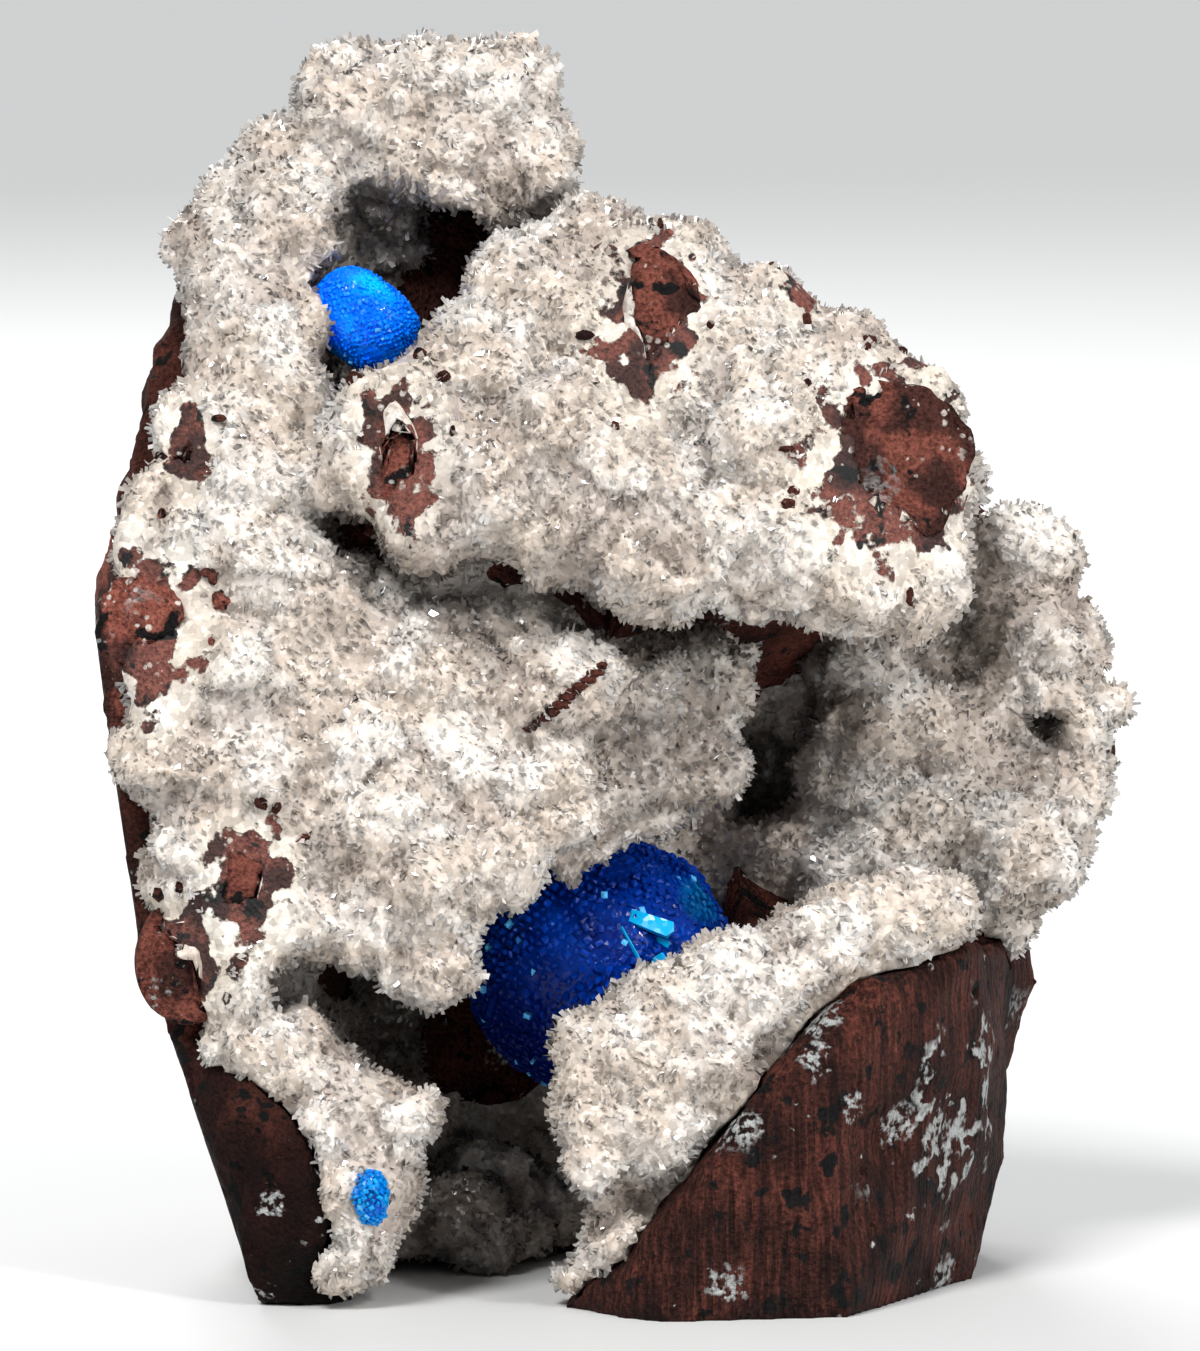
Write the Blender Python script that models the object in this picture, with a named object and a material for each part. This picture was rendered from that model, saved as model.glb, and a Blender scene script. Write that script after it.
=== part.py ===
"""A hand specimen of cavansite, standing on its sawn base.

Blue cavansite crystals sit on a thick crust of small stilbite crystals, which covers lumps of red-brown
basalt and lines the hollows between them. The front of the specimen faces -Y. Sizes are in millimetres
until they go into a mesh, which is in metres.
"""

import random
from math import radians

import bmesh
import bpy
from mathutils import Matrix, Vector, noise
from mathutils.bvhtree import BVHTree

MM = 0.001

# Driving sizes of the specimen
CRUST_THICKNESS = 1.5
BARE_DEPTH = 1.1
GAP = 0.32
CRUST_FOOT = 0.7
REACH = 70.0

# Fineness of the shapes
ROCK_VOXEL = 0.8
CRUST_VOXEL = 0.6
ROCK_FACES = 2300
CRUST_FACES = 3300
HOLLOW_FACES = 900
SPHERE_FINENESS = 3

# Scoops and swells of the broken basalt, and knobs of the crust
SCOOP_SIZE = 5.0
SCOOP_LEVEL = 0.35
SWELL_SIZE = 11.0
SWELL_SHARE = 0.8
FRACTURE_HEIGHT = 1.3
KNOB_SIZE = 3.6
KNOB_LEVEL = 0.45
KNOB_HEIGHT = 1.3

# Lumps of crust, each as x, y, z and radius
MAIN_LOBE = [
    (-0.5, -3, 51.5, 3), (3.5, -4, 50.5, 3), (-3.5, -4.5, 49.5, 3.4), (7.5, -5, 48, 3),
    (11.5, -5, 46, 3), (14.5, -6, 43.5, 3.2), (16, -6, 40, 2.4), (0.5, -6.5, 48, 3.4),
    (4.5, -6.5, 46, 3.4), (-6.5, -6.5, 46, 3.4), (-10, -8.5, 43.5, 3.4), (-12.5, -8.5, 41, 2.4),
    (-9, -10, 38, 2.4), (-5.5, -9.5, 40.5, 3.6), (-2.5, -9.5, 43, 3.4), (0.5, -10, 39.5, 4.4),
    (4, -10.5, 37.5, 3), (2, -10.5, 35.5, 2.2), (7.5, -8.5, 42.5, 3.6), (9.5, -9.5, 37.5, 3.8),
    (12.5, -9, 36.5, 3.4), (13.5, -8, 41, 3.6), (16, -7.5, 36.5, 2.4), (7.5, -10, 35.5, 2),
    (14.5, -7.5, 34.5, 1.8), (-2.5, -10.5, 37.5, 2.4),
]
TOP_LOBE = [
    (-12, 3.5, 59.2, 2.6), (-9, 3, 59, 3), (-6, 3, 59, 2.8), (-4.5, 3.5, 59.5, 2.4),
    (-3.5, 3, 56.5, 2), (-7, 2, 56, 3), (-9.5, 2, 55.5, 2.2), (-7, 1.5, 53.5, 2.4),
    (-4, 2.5, 54.5, 2.4), (-13.5, 2, 58, 2.2),
]
UPPER_LEFT = [
    (-16.5, 2.5, 55.5, 2.4), (-14.5, 2.5, 56, 2.4), (-18.5, 1.5, 53.5, 2.2), (-16.5, 0, 53, 3),
    (-20, 0, 51.5, 2.2), (-18.5, -2, 49.5, 3), (-15.5, -1.5, 52, 2.4), (-16, -3.5, 47.5, 2.6),
    (-18.5, -4, 46.5, 2.8), (-16, -5, 44, 2.8), (-20, -6, 43, 2.6), (-17.5, -7, 41, 2.8),
    (-21, -7, 39, 2.4),
]
LEFT_WALL = [
    (-22, -8, 36.5, 2.4), (-18, -8, 36.5, 3), (-14.5, -8, 34.5, 3), (-22, -9, 31.5, 2.4),
    (-18.5, -9, 30.5, 3.4), (-21.5, -9.5, 27, 3), (-17.5, -10, 25.5, 3.6), (-20.5, -10.5, 22, 2.8),
    (-17, -10.5, 21, 3), (-20, -11.5, 18, 2.2),
]
MID_MASS = [
    (-11.5, -7, 31.5, 3.6), (-13.5, -8.5, 27.5, 3.6), (-7.5, -6.5, 29.5, 4), (-2.5, -8.5, 30, 3.4),
    (-10.5, -9.5, 25.5, 3.4), (-6, -8.5, 25, 3.4), (-2.5, -8, 25, 3), (1.5, -6, 29.5, 3.6),
    (4.5, -5, 30, 2.6), (4.5, -6, 26.5, 2.4), (1.5, -6.5, 25.5, 3), (-1.5, -7.5, 22.5, 1.8),
    (-12.5, -10.5, 23, 2.8), (-9.5, -10.5, 20.5, 3.6), (-6, -10.5, 22, 2.8), (-8.5, -11.5, 17, 2.2),
    (-13.5, -10.5, 19.5, 2.6), (-17, -11.5, 19, 2), (-9.5, -11.5, 16.5, 1.6),
]
LEFT_FOOT = [
    (-18, -10.5, 13, 2.2), (-15, -10.5, 11.5, 2.6), (-15.5, -11, 13.5, 1.4), (-18.5, -11.5, 16, 1.8),
    (-13, -11, 9.5, 3), (-10.5, -10.5, 9.5, 2), (-12, -11.5, 6, 3), (-10.5, -10.5, 6.5, 1.8),
    (-12.5, -12, 3.5, 2.4), (-13.5, -12.5, 2, 1.4),
]
BLOCK_TOP = [
    (16.5, -7, 19, 2), (14.5, -8.5, 19, 2.6), (12.5, -9.5, 18.5, 2.4), (9.5, -11, 17.5, 2.8),
    (7, -12, 16, 2.8), (5.5, -12, 16, 2.4), (2.5, -12.5, 14.5, 2.8), (0.5, -13, 12.5, 2.8),
    (-0.5, -13.5, 10, 2.4), (2, -13.5, 9.5, 2.8), (4.5, -13.5, 12, 2.8), (-0.5, -14, 7.5, 2),
    (0, -13, 4, 1.6), (-1.5, -12, 1.5, 1.2),
]
RIGHT_HOLLOW = [
    (13, 2.5, 30.5, 3), (13, 2.5, 27.5, 3), (17, 3.5, 26.5, 2.8), (12, 3, 24.5, 2.8),
    (14.5, 2, 21, 2.8), (9, 3.5, 21, 2.4), (11.5, 2.5, 19.5, 2.6), (17, 2.5, 22, 2.6),
    (20, 2, 21, 2.6), (8, 4, 18.5, 2),
]
RIGHT_LOBE = [
    (20.5, 5.5, 36, 2.2), (22, 5.5, 35, 2.2), (21.5, 4.5, 31.5, 2.8), (23.5, 5.5, 31, 2),
    (20, 4, 28.5, 2.2), (24.5, 5.5, 28, 1.4), (22.5, 4, 23.5, 2.8), (24, 4.5, 25, 1.6),
    (22, 3, 20, 2.2), (19, 3.5, 24, 2.2), (23, 4.5, 21, 1.8), (19, 5.5, 32, 1.8),
]
HOLLOW_BACK = [(-7, -0.5, 2.5, 2.8), (-9.5, 0, 1.5, 2.4), (-6, 3.5, 2.5, 3.4), (-0.5, 9.5, 16, 4.4)]
LUMPS = (MAIN_LOBE + TOP_LOBE + UPPER_LEFT + LEFT_WALL + MID_MASS + LEFT_FOOT + BLOCK_TOP
         + RIGHT_HOLLOW + RIGHT_LOBE + HOLLOW_BACK)

# Corners of the masses whose basalt is bare
BACK = [
    (-18, 7, -1), (-15, 15, -1), (0, 18, -1), (13, 16, -1), (17, 7, -1),
    (-25, 6, 33), (-23, 12, 30), (-5, 18, 28), (12, 17, 25), (25, 7.5, 26), (23, 13, 29),
    (-20.5, 6, 51), (-17, 10, 50), (-9, 12, 56), (-4, 8, 56), (4, 10, 49), (14, 10, 38.5),
    (21, 9, 36), (22.5, 7, 16),
]
LEFT_SIDE = [
    (-18, -11, -1), (-14, -11, -1), (-18, 6, -1), (-12.5, 6, -1), (-23, -10, 15), (-18, -10.5, 15),
    (-25.5, -8, 33), (-19, -7, 33), (-25.5, 5, 33), (-14, 6, 33), (-22.6, -4.5, 45), (-17, -4, 44),
    (-21, 1, 50.5), (-16, 2, 50),
]
FOOT = [
    (-17, -10, -1), (-13, -11, -1), (-17.5, -13, 4), (-14, -13.8, 4), (-15.5, -13.6, 8),
    (-20.5, -12, 11.5), (-19, -10, 13), (-14, -6, 9), (-12.5, -8, -1),
]
BLOCK = [
    (-3, -12, -1), (3.7, -18, -1), (10.5, -16, -1), (13.5, -13, -1), (18.5, -4.5, -1), (18.5, 8, -1),
    (-2, 4, -1), (-0.5, -13.5, 1.5), (2.2, -17, 6), (5.5, -17, 9), (9.5, -15, 13), (12.8, -12.5, 16.5),
    (19.2, -6, 18.8), (20.5, 6, 16), (15, -5, 15), (7, -7, 9), (0, -6, 3),
]
BARE = [BACK, LEFT_SIDE, FOOT, BLOCK]

# Corners of the masses that the crust covers
COATED = [
    # main lobe
    [(-12.5, -10, 41), (-10, -11, 37.5), (-3, -12, 37), (2, -12.5, 34.8), (9, -12, 35),
     (14, -10, 34.5), (17, -8, 37), (17, -7, 41), (14.5, -6.5, 45), (8, -5.5, 49.5), (0, -3.5, 53),
     (-4, -4.5, 51), (-9, -8, 46), (-12, 6, 42), (-10, 6, 38), (14, 6, 36), (16, 4, 42),
     (6, 6, 50), (-3, 6, 52)],
    # middle
    [(-15, -11.5, 29), (-13, -12, 24), (-10, -13, 19.5), (-8, -12, 18), (-5, -11, 21),
     (-2, -9.5, 23.5), (3, -7.5, 24.5), (6, -5, 27), (5.5, -5.5, 31), (1, -7, 33), (-5, -9, 33),
     (-12, -8.5, 34), (-12, -4, 39), (3, -3, 38.5), (-15, 5, 30), (6, 5, 31), (-12, 5, 18),
     (4, 5, 24), (-11, 5, 41), (8, 5, 39)],
    # left wall
    [(-22.5, -9.5, 36), (-13, -9, 35.5), (-23, -10, 30), (-12, -11.2, 28), (-21.5, -12, 20),
     (-12.5, -12.4, 20), (-20, -12.5, 16), (-17.5, -12.5, 16), (-20.5, -7, 43), (-15.5, -7, 43),
     (-19.5, -4.5, 47), (-15.5, -4.5, 47), (-22, 4, 36), (-12, 4, 36), (-21, 4, 18),
     (-13, 4, 18)],
    # upper left
    [(-20.5, -1, 51), (-15, -3, 51), (-19.5, -4, 47), (-15, -4.5, 46), (-17, 0.5, 57),
     (-13.5, 0.5, 57), (-19, 8, 51), (-14, 8, 51), (-19, 6, 44), (-14, 6, 44)],
    # top lobe
    [(-13.5, 1.5, 59.5), (-4, 1.5, 60), (-3, 2, 56), (-5, 1.5, 53), (-9, 1.5, 53), (-13, 2, 55),
     (-15.5, 2, 55.5), (-15.5, 9, 55), (-13.5, 10, 59), (-4, 10, 59), (-3, 11, 50),
     (-13, 11, 50)],
    # right lobe
    [(19.5, 4.5, 36), (22.5, 4, 36.5), (24.3, 4.5, 32), (24.7, 3.5, 26.5), (23.5, 2.5, 22),
     (21, 2, 19), (18.5, 3, 22), (19, 3.5, 30), (19.5, 11, 34), (23, 11, 34), (23, 11, 22),
     (18, 11, 22)],
    # left foot
    [(-18, -12, 12), (-13.5, -12.5, 11), (-11, -12.5, 8), (-10.5, -11.5, 4), (-11.5, -12.5, 0),
     (-14.5, -12.5, 3), (-17, -11, 10), (-12, -3, 9), (-11, -3, 0), (-16, -3, 10)],
    # wall behind the hollows
    [(-14, 4, -1), (15, 4, -1), (20, 3.5, 15), (23.2, 4, 22), (24, 4.5, 28), (21, 5, 35.5),
     (14, 5, 37.5), (2, 5, 47), (-4, 5.5, 54), (-17, 4, 54), (-21.5, 4, 35), (-20, 4, 18),
     (-13, 10, -1), (14.5, 10, -1), (22, 10, 22), (22, 10, 28), (14, 10, 36), (-5, 10, 52),
     (-18, 9, 48), (-20, 9, 33)],
    # inner face of the left side
    [(-11, -9, -1), (-10.5, 6, -1), (-11.5, 6, 13), (-13.5, -8, 12), (-16, -8, 13), (-16, 6, 14),
     (-15, -9, -1), (-15, 6, -1)],
    # top of the front block
    [(-1.5, -12.5, 1), (-0.5, -14, 8), (0, -13.5, 12), (2.5, -13, 15.5), (7, -12, 17),
     (12, -9.5, 19), (16.5, -7.5, 19.8), (18, -4, 19), (18.5, 4, 17), (6, 4, 14), (-1, 2, 6),
     (-1, 2, 1), (4.5, -14, 9), (9, -12.5, 13)],
]

# Sawn faces, each as the start and end of its foot, its lowest and highest point, and its lean outward
LEFT_CUTS = [
    ((-16.8, 30), (-16.4, -24), -2, 16, 0.335),
    ((-23.2, 30), (-22.8, -24), 16, 40, 0.145),
]
FRONT_CUTS = [
    ((1, -17.2), (10.5, -15.6), -2, 21, 0.06),
    ((12.1, -14.2), (17.1, -4.6), -2, 19, 0.16),
]
CUT_OVERRUN = 3.5
CUT_DEPTH = 28.0

# Hollows in the crust, each as its centre and its half lengths
HOLLOWS = [
    ((-3, -4, 12), (8.5, 14, 11)),
    ((-11, -8, 14), (6, 10, 2.6)),
    ((-6.5, -6, 3), (3.5, 15, 6)),
    ((10.5, -6, 26), (7, 9, 8)),
    ((8.2, 0, 23), (2.6, 9, 6)),
    ((-8.5, -2, 48.5), (3.6, 8, 4)),
    ((13.5, 0, 33.5), (4, 6, 2)),
]
LATE_HOLLOWS = [((22.4, 2, 27.4), (1.5, 4, 1.0)), ((-7.5, 4, 52.5), (3, 5, 2.2))]

# Places where the basalt shows through the crust, each as x, z and half lengths
PATCHES = [
    (2, 48.3, 2, 3.2), (-10.2, 42.3, 1.6, 3), (14, 41.2, 3.2, 3.6), (-22.3, 33.3, 2, 3.2),
    (-17.6, 21.3, 1.7, 2.4), (-20.8, 17, 1.8, 2.2), (-20.5, 42, 0.9, 2), (9.5, 50, 0.9, 1.2),
]
PATCH_PROUD = 0.45
PATCH_DEPTH = 4.0

# Clusters of blue crystals, each as its centre, its half lengths and its tilt
BALL = ((-0.4, -1, 15.5), (6.5, 6.5, 6.5), 0)
UPPER = ((-12.2, -2.5, 48), (3.0, 2.2, 2.0), 35)
TUFT = ((-11.6, -14.6, 5.8), (0.8, 0.7, 1.3), 0)

# Their crystals, in shares of the cluster's size
CRYSTAL_SHARE = 0.55
CRYSTAL_SCATTER = 0.4
CRYSTAL_GROOVE = 0.02
CRYSTAL_LEAN = 0.4
CRYSTAL_TAPER = 0.12
SHORTEST_CRYSTAL = 0.4
SEAT_ROOM = 1.04


def clear_scene():
    for thing in list(bpy.data.objects):
        bpy.data.objects.remove(thing, do_unlink=True)


def material(name, colour, roughness):
    made = bpy.data.materials.new(name)
    made.use_nodes = True
    shader = made.node_tree.nodes["Principled BSDF"]
    shader.inputs["Base Color"].default_value = (*colour, 1)
    shader.inputs["Roughness"].default_value = roughness
    shader.inputs["Metallic"].default_value = 0
    made.diffuse_color = (*colour, 1)
    return made


def to_object(name, bm, helper=True):
    """Turn a bmesh into an object, which is left out of renders if it only helps to make another."""
    bmesh.ops.recalc_face_normals(bm, faces=bm.faces)
    mesh = bpy.data.meshes.new(name)
    bm.to_mesh(mesh)
    bm.free()
    thing = bpy.data.objects.new(name, mesh)
    bpy.context.scene.collection.objects.link(thing)
    if helper:
        thing.hide_render = True
        thing.display_type = "WIRE"
    return thing


def discard(thing):
    bpy.data.objects.remove(thing, do_unlink=True)


def apply_modifiers(thing):
    graph = bpy.context.evaluated_depsgraph_get()
    mesh = bpy.data.meshes.new_from_object(thing.evaluated_get(graph))
    thing.modifiers.clear()
    thing.data = mesh


def placed(centre, half, tilt=0):
    """Take a shape of radius 1 to its size, tilt and place."""
    turn = Matrix.Rotation(radians(tilt), 4, "Y")
    size = Matrix.Diagonal((*(Vector(half) * MM), 1))
    return Matrix.Translation(Vector(centre) * MM) @ turn @ size


def add_ellipsoid(bm, centre, half, tilt=0):
    """Add a closed ellipsoid to the bmesh."""
    bmesh.ops.create_icosphere(bm, subdivisions=SPHERE_FINENESS, radius=1, matrix=placed(centre, half, tilt))


def add_hull(bm, corners):
    """Add the closed convex solid round the corners to the bmesh."""
    verts = [bm.verts.new(Vector(corner) * MM) for corner in corners]
    hull = bmesh.ops.convex_hull(bm, input=verts)
    inside = [item for item in hull["geom_interior"] if isinstance(item, bmesh.types.BMVert)]
    bmesh.ops.delete(bm, geom=inside, context="VERTS")


def remesh(thing, voxel):
    """Join the overlapping closed shapes of the mesh into one skin."""
    skin = thing.modifiers.new("skin", "REMESH")
    skin.mode = "VOXEL"
    skin.voxel_size = voxel * MM
    skin.adaptivity = 0
    apply_modifiers(thing)


def grow(thing, by):
    """Move the skin outward, or inward if the amount is negative."""
    swell = thing.modifiers.new("swell", "DISPLACE")
    swell.direction = "NORMAL"
    swell.mid_level = 0
    swell.strength = by * MM
    apply_modifiers(thing)


def cut(thing, other):
    """Cut another closed shape from the thing, and remove the other shape."""
    change = thing.modifiers.new("change", "BOOLEAN")
    change.operation = "DIFFERENCE"
    change.solver = "EXACT"
    change.use_self = True
    change.object = other
    apply_modifiers(thing)
    discard(other)


def simplify(thing, faces):
    """Reduce the mesh to about so many triangles."""
    fewer = thing.modifiers.new("fewer", "DECIMATE")
    fewer.ratio = faces / max(1, sum(len(face.vertices) - 2 for face in thing.data.polygons))
    fewer.use_collapse_triangulate = True
    apply_modifiers(thing)


def keep_largest_body(thing):
    """Drop the crumbs that a cut leaves beside the main body."""
    bm = bmesh.new()
    bm.from_mesh(thing.data)
    waiting = set(bm.verts)
    bodies = []
    while waiting:
        edge_of_search = [waiting.pop()]
        body = list(edge_of_search)
        while edge_of_search:
            vert = edge_of_search.pop()
            for edge in vert.link_edges:
                near = edge.other_vert(vert)
                if near in waiting:
                    waiting.discard(near)
                    edge_of_search.append(near)
                    body.append(near)
        bodies.append(body)
    bodies.sort(key=len)
    crumbs = [vert for body in bodies[:-1] for vert in body]
    bmesh.ops.delete(bm, geom=crumbs, context="VERTS")
    bmesh.ops.triangulate(bm, faces=bm.faces)
    bm.to_mesh(thing.data)
    bm.free()


def shape_skin(thing, height_at):
    """Move every point of the skin along its normal, by the height in millimetres that a rule gives."""
    bm = bmesh.new()
    bm.from_mesh(thing.data)
    bm.normal_update()
    heights = [height_at(vert.co / MM) for vert in bm.verts]
    normals = [vert.normal.copy() for vert in bm.verts]
    for vert, normal, height in zip(bm.verts, normals, heights):
        vert.co += normal * height * MM
    bm.to_mesh(thing.data)
    bm.free()


def fracture(at):
    """Scoops with sharp ridges between them, as basalt breaks."""
    scoop = noise.voronoi(at / SCOOP_SIZE)[0][0] - SCOOP_LEVEL
    swell = noise.noise(at / SWELL_SIZE)
    return FRACTURE_HEIGHT * (scoop + SWELL_SHARE * swell)


def knobs(at):
    """Round knobs side by side, as the crust grows."""
    return KNOB_HEIGHT * (KNOB_LEVEL - noise.voronoi(at / KNOB_SIZE)[0][0])


def saw_wedge(start, end, low, high, lean):
    """A block of waste to the right of the line from start to end, whose face along that line is the sawn one."""
    along = (Vector(end) - Vector(start)).normalized()
    out = Vector((along.y, -along.x))
    corners = []
    for z in (low, high):
        shift = out * (lean * (z - low))
        for mark in (Vector(start) - along * CUT_OVERRUN, Vector(end) + along * CUT_OVERRUN):
            for depth in (0, CUT_DEPTH):
                at = mark + shift + out * depth
                corners.append((at.x, at.y, z))
    bm = bmesh.new()
    add_hull(bm, corners)
    return to_object("side_waste", bm)


def saw_sides(thing, cuts):
    for start, end, low, high, lean in cuts:
        cut(thing, saw_wedge(start, end, low, high, lean))


def saw_base(thing, floor):
    """Cut off all that lies below the floor."""
    bm = bmesh.new()
    bmesh.ops.create_cube(bm, size=2 * REACH * MM, matrix=Matrix.Translation((0, 0, (floor - REACH) * MM)))
    cut(thing, to_object("base_waste", bm))


def carve(thing, hollows, deeper):
    """Open the hollows, so much deeper than the crust leaves them."""
    bm = bmesh.new()
    for centre, half in hollows:
        add_ellipsoid(bm, centre, [length + deeper for length in half])
    waste = to_object("hollows", bm)
    remesh(waste, CRUST_VOXEL)
    simplify(waste, HOLLOW_FACES)
    cut(thing, waste)


def mass(name, lists_of_corners, voxel):
    """One closed skin round the convex masses that the lists of corners give."""
    bm = bmesh.new()
    for corners in lists_of_corners:
        add_hull(bm, corners)
    thing = to_object(name, bm)
    remesh(thing, voxel)
    return thing


def add_lumps(thing, voxel):
    bm = bmesh.new()
    bm.from_mesh(thing.data)
    for x, y, z, radius in LUMPS:
        add_ellipsoid(bm, (x, y, z), [radius] * 3)
    bm.to_mesh(thing.data)
    bm.free()
    remesh(thing, voxel)


def join_masses(thing, other, voxel):
    bm = bmesh.new()
    bm.from_mesh(thing.data)
    bm.from_mesh(other.data)
    bm.to_mesh(thing.data)
    bm.free()
    discard(other)
    remesh(thing, voxel)


def make_skin():
    """The outside of the specimen where the crust covers it, and a little inside where the basalt is bare."""
    skin = mass("stilbite_crust", BARE, ROCK_VOXEL)
    grow(skin, -BARE_DEPTH)
    coated = mass("coated", COATED, CRUST_VOXEL)
    shape_skin(coated, knobs)
    join_masses(skin, coated, CRUST_VOXEL)
    carve(skin, HOLLOWS, 0)
    add_lumps(skin, CRUST_VOXEL)
    carve(skin, LATE_HOLLOWS, 0)
    return skin


def make_rock(skin):
    """The basalt: broken where it is bare, and one crust thickness or more behind the crust elsewhere."""
    rock = mass("basalt_matrix", BARE, ROCK_VOXEL)
    shape_skin(rock, fracture)
    core = mass("core", COATED, ROCK_VOXEL)
    grow(core, -CRUST_THICKNESS)
    join_masses(rock, core, ROCK_VOXEL)
    carve(rock, HOLLOWS + LATE_HOLLOWS, CRUST_THICKNESS)
    add_patches(rock, skin)
    simplify(rock, ROCK_FACES)
    saw_sides(rock, FRONT_CUTS + LEFT_CUTS)
    saw_base(rock, 0)
    keep_largest_body(rock)
    return rock


def add_patches(rock, skin):
    """Raise the basalt through the crust at each patch, where the line of sight from the front meets the skin."""
    front = BVHTree.FromPolygons(
        [vert.co for vert in skin.data.vertices], [face.vertices for face in skin.data.polygons])
    bm = bmesh.new()
    bm.from_mesh(rock.data)
    for x, z, half_x, half_z in PATCHES:
        surface = front.ray_cast(Vector((x, -REACH, z)) * MM, Vector((0, 1, 0)))[0]
        middle_y = surface.y / MM + PATCH_DEPTH - PATCH_PROUD
        add_ellipsoid(bm, (x, middle_y, z), (half_x, PATCH_DEPTH, half_z))
    bm.to_mesh(rock.data)
    bm.free()
    remesh(rock, ROCK_VOXEL)


def make_crust(crust, rock):
    """The stilbite crust: what the skin of the specimen holds outside the basalt."""
    simplify(crust, CRUST_FACES)
    saw_sides(crust, LEFT_CUTS)
    saw_base(crust, CRUST_FOOT)
    cutter = rock.copy()
    cutter.data = rock.data.copy()
    bpy.context.scene.collection.objects.link(cutter)
    grow(cutter, GAP)
    cut(crust, cutter)
    keep_largest_body(crust)
    return crust


def any_way(rng):
    return Vector((rng.uniform(-1, 1), rng.uniform(-1, 1), rng.uniform(-1, 1)))


def make_cluster(name, cluster, across, length, seed):
    """A closed cluster of blocky crystals that stand out from a round heart, so many across each of its six sides."""
    rng = random.Random(seed)
    bm = bmesh.new()
    bmesh.ops.create_cube(bm, size=2)
    bmesh.ops.subdivide_edges(bm, edges=bm.edges, cuts=across - 1, use_grid_fill=True)
    for vert in bm.verts:
        vert.co = (vert.co + any_way(rng) * CRYSTAL_SCATTER / across).normalized() * (1 - length)
    crystals = [face for face in bm.faces if rng.random() < CRYSTAL_SHARE]
    for face in crystals:
        outward = face.calc_center_median().normalized()
        bmesh.ops.inset_individual(bm, faces=[face], thickness=CRYSTAL_GROOVE / across)
        rise = rng.uniform(SHORTEST_CRYSTAL, 1) * length
        lean = any_way(rng) * CRYSTAL_LEAN
        middle = face.calc_center_median()
        for vert in face.verts:
            aside = vert.co - middle
            vert.co += outward * (rise + lean.dot(aside)) - aside * CRYSTAL_TAPER
    bmesh.ops.transform(bm, matrix=placed(*cluster), verts=bm.verts)
    bmesh.ops.triangulate(bm, faces=bm.faces)
    return to_object(name, bm, helper=False)


def seat(thing, cluster):
    """Cut a seat for a cluster, one gap wider than its reach."""
    centre, half, tilt = cluster
    bm = bmesh.new()
    add_ellipsoid(bm, centre, [length * SEAT_ROOM + GAP for length in half], tilt)
    cut(thing, to_object("seat", bm))
    keep_largest_body(thing)


def finish(thing, finish_material):
    """Show a finished piece, with its own material alone."""
    thing.hide_render = False
    thing.display_type = "TEXTURED"
    thing.data.materials.clear()
    thing.data.materials.append(finish_material)


def centre_on_base(things):
    """Put the origin under the middle of the specimen."""
    corners = [vert.co for thing in things for vert in thing.data.vertices]
    middle_x = (min(at.x for at in corners) + max(at.x for at in corners)) / 2
    middle_y = (min(at.y for at in corners) + max(at.y for at in corners)) / 2
    lowest = min(at.z for at in corners)
    for thing in things:
        thing.location = (-middle_x, -middle_y, -lowest)


def build():
    clear_scene()
    skin = make_skin()
    rock = make_rock(skin)
    crust = make_crust(skin, rock)
    ball = make_cluster("cavansite_ball_main", BALL, across=5, length=0.12, seed=11)
    upper = make_cluster("cavansite_cluster_upper", UPPER, across=3, length=0.3, seed=5)
    tuft = make_cluster("cavansite_tuft_lower", TUFT, across=2, length=0.35, seed=8)
    for body in (rock, crust):
        for cluster in (BALL, UPPER, TUFT):
            seat(body, cluster)
    finish(rock, material("basalt", (0.13, 0.045, 0.03), 0.85))
    finish(crust, material("stilbite", (0.62, 0.57, 0.52), 0.45))
    finish(ball, material("cavansite_deep", (0.004, 0.03, 0.30), 0.25))
    finish(upper, material("cavansite_bright", (0.0, 0.16, 0.75), 0.3))
    finish(tuft, material("cavansite_pale", (0.0, 0.25, 0.70), 0.3))
    centre_on_base([rock, crust, ball, upper, tuft])


build()
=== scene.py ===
from math import cos, radians, sin

import bmesh
import bpy
import numpy as np
from mathutils import Matrix, Vector, noise
from mathutils.bvhtree import BVHTree


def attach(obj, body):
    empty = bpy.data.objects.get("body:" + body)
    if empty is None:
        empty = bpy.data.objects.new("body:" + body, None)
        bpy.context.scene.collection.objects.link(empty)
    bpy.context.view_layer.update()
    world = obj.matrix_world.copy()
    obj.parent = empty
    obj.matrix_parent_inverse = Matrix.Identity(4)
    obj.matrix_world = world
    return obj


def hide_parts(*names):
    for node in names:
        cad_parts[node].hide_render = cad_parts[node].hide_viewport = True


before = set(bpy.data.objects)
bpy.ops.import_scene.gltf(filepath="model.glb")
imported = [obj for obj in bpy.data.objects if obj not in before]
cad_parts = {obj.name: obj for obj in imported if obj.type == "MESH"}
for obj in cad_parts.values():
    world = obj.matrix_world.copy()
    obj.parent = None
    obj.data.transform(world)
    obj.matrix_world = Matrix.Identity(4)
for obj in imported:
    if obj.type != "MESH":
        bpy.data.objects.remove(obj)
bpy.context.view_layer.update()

# View of the photograph
# A long lens stands well off the front of the specimen, 6 degrees above the horizon. Lengths in this
# file are in millimetres, and MM turns them into Blender's metres.
MM = 0.001
VIEW_TARGET = Vector((-0.556, -0.906, 30.0))
VIEW_DISTANCE = 600.0
VIEW_ELEVATION = radians(6)
VIEW_HEIGHT = 67.55
VIEW_CLIP = (10.0, 20000.0)
SENSOR = 36.0


def new_object(name, data):
    made = bpy.data.objects.new(name, data)
    bpy.context.scene.collection.objects.link(made)
    return made


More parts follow.
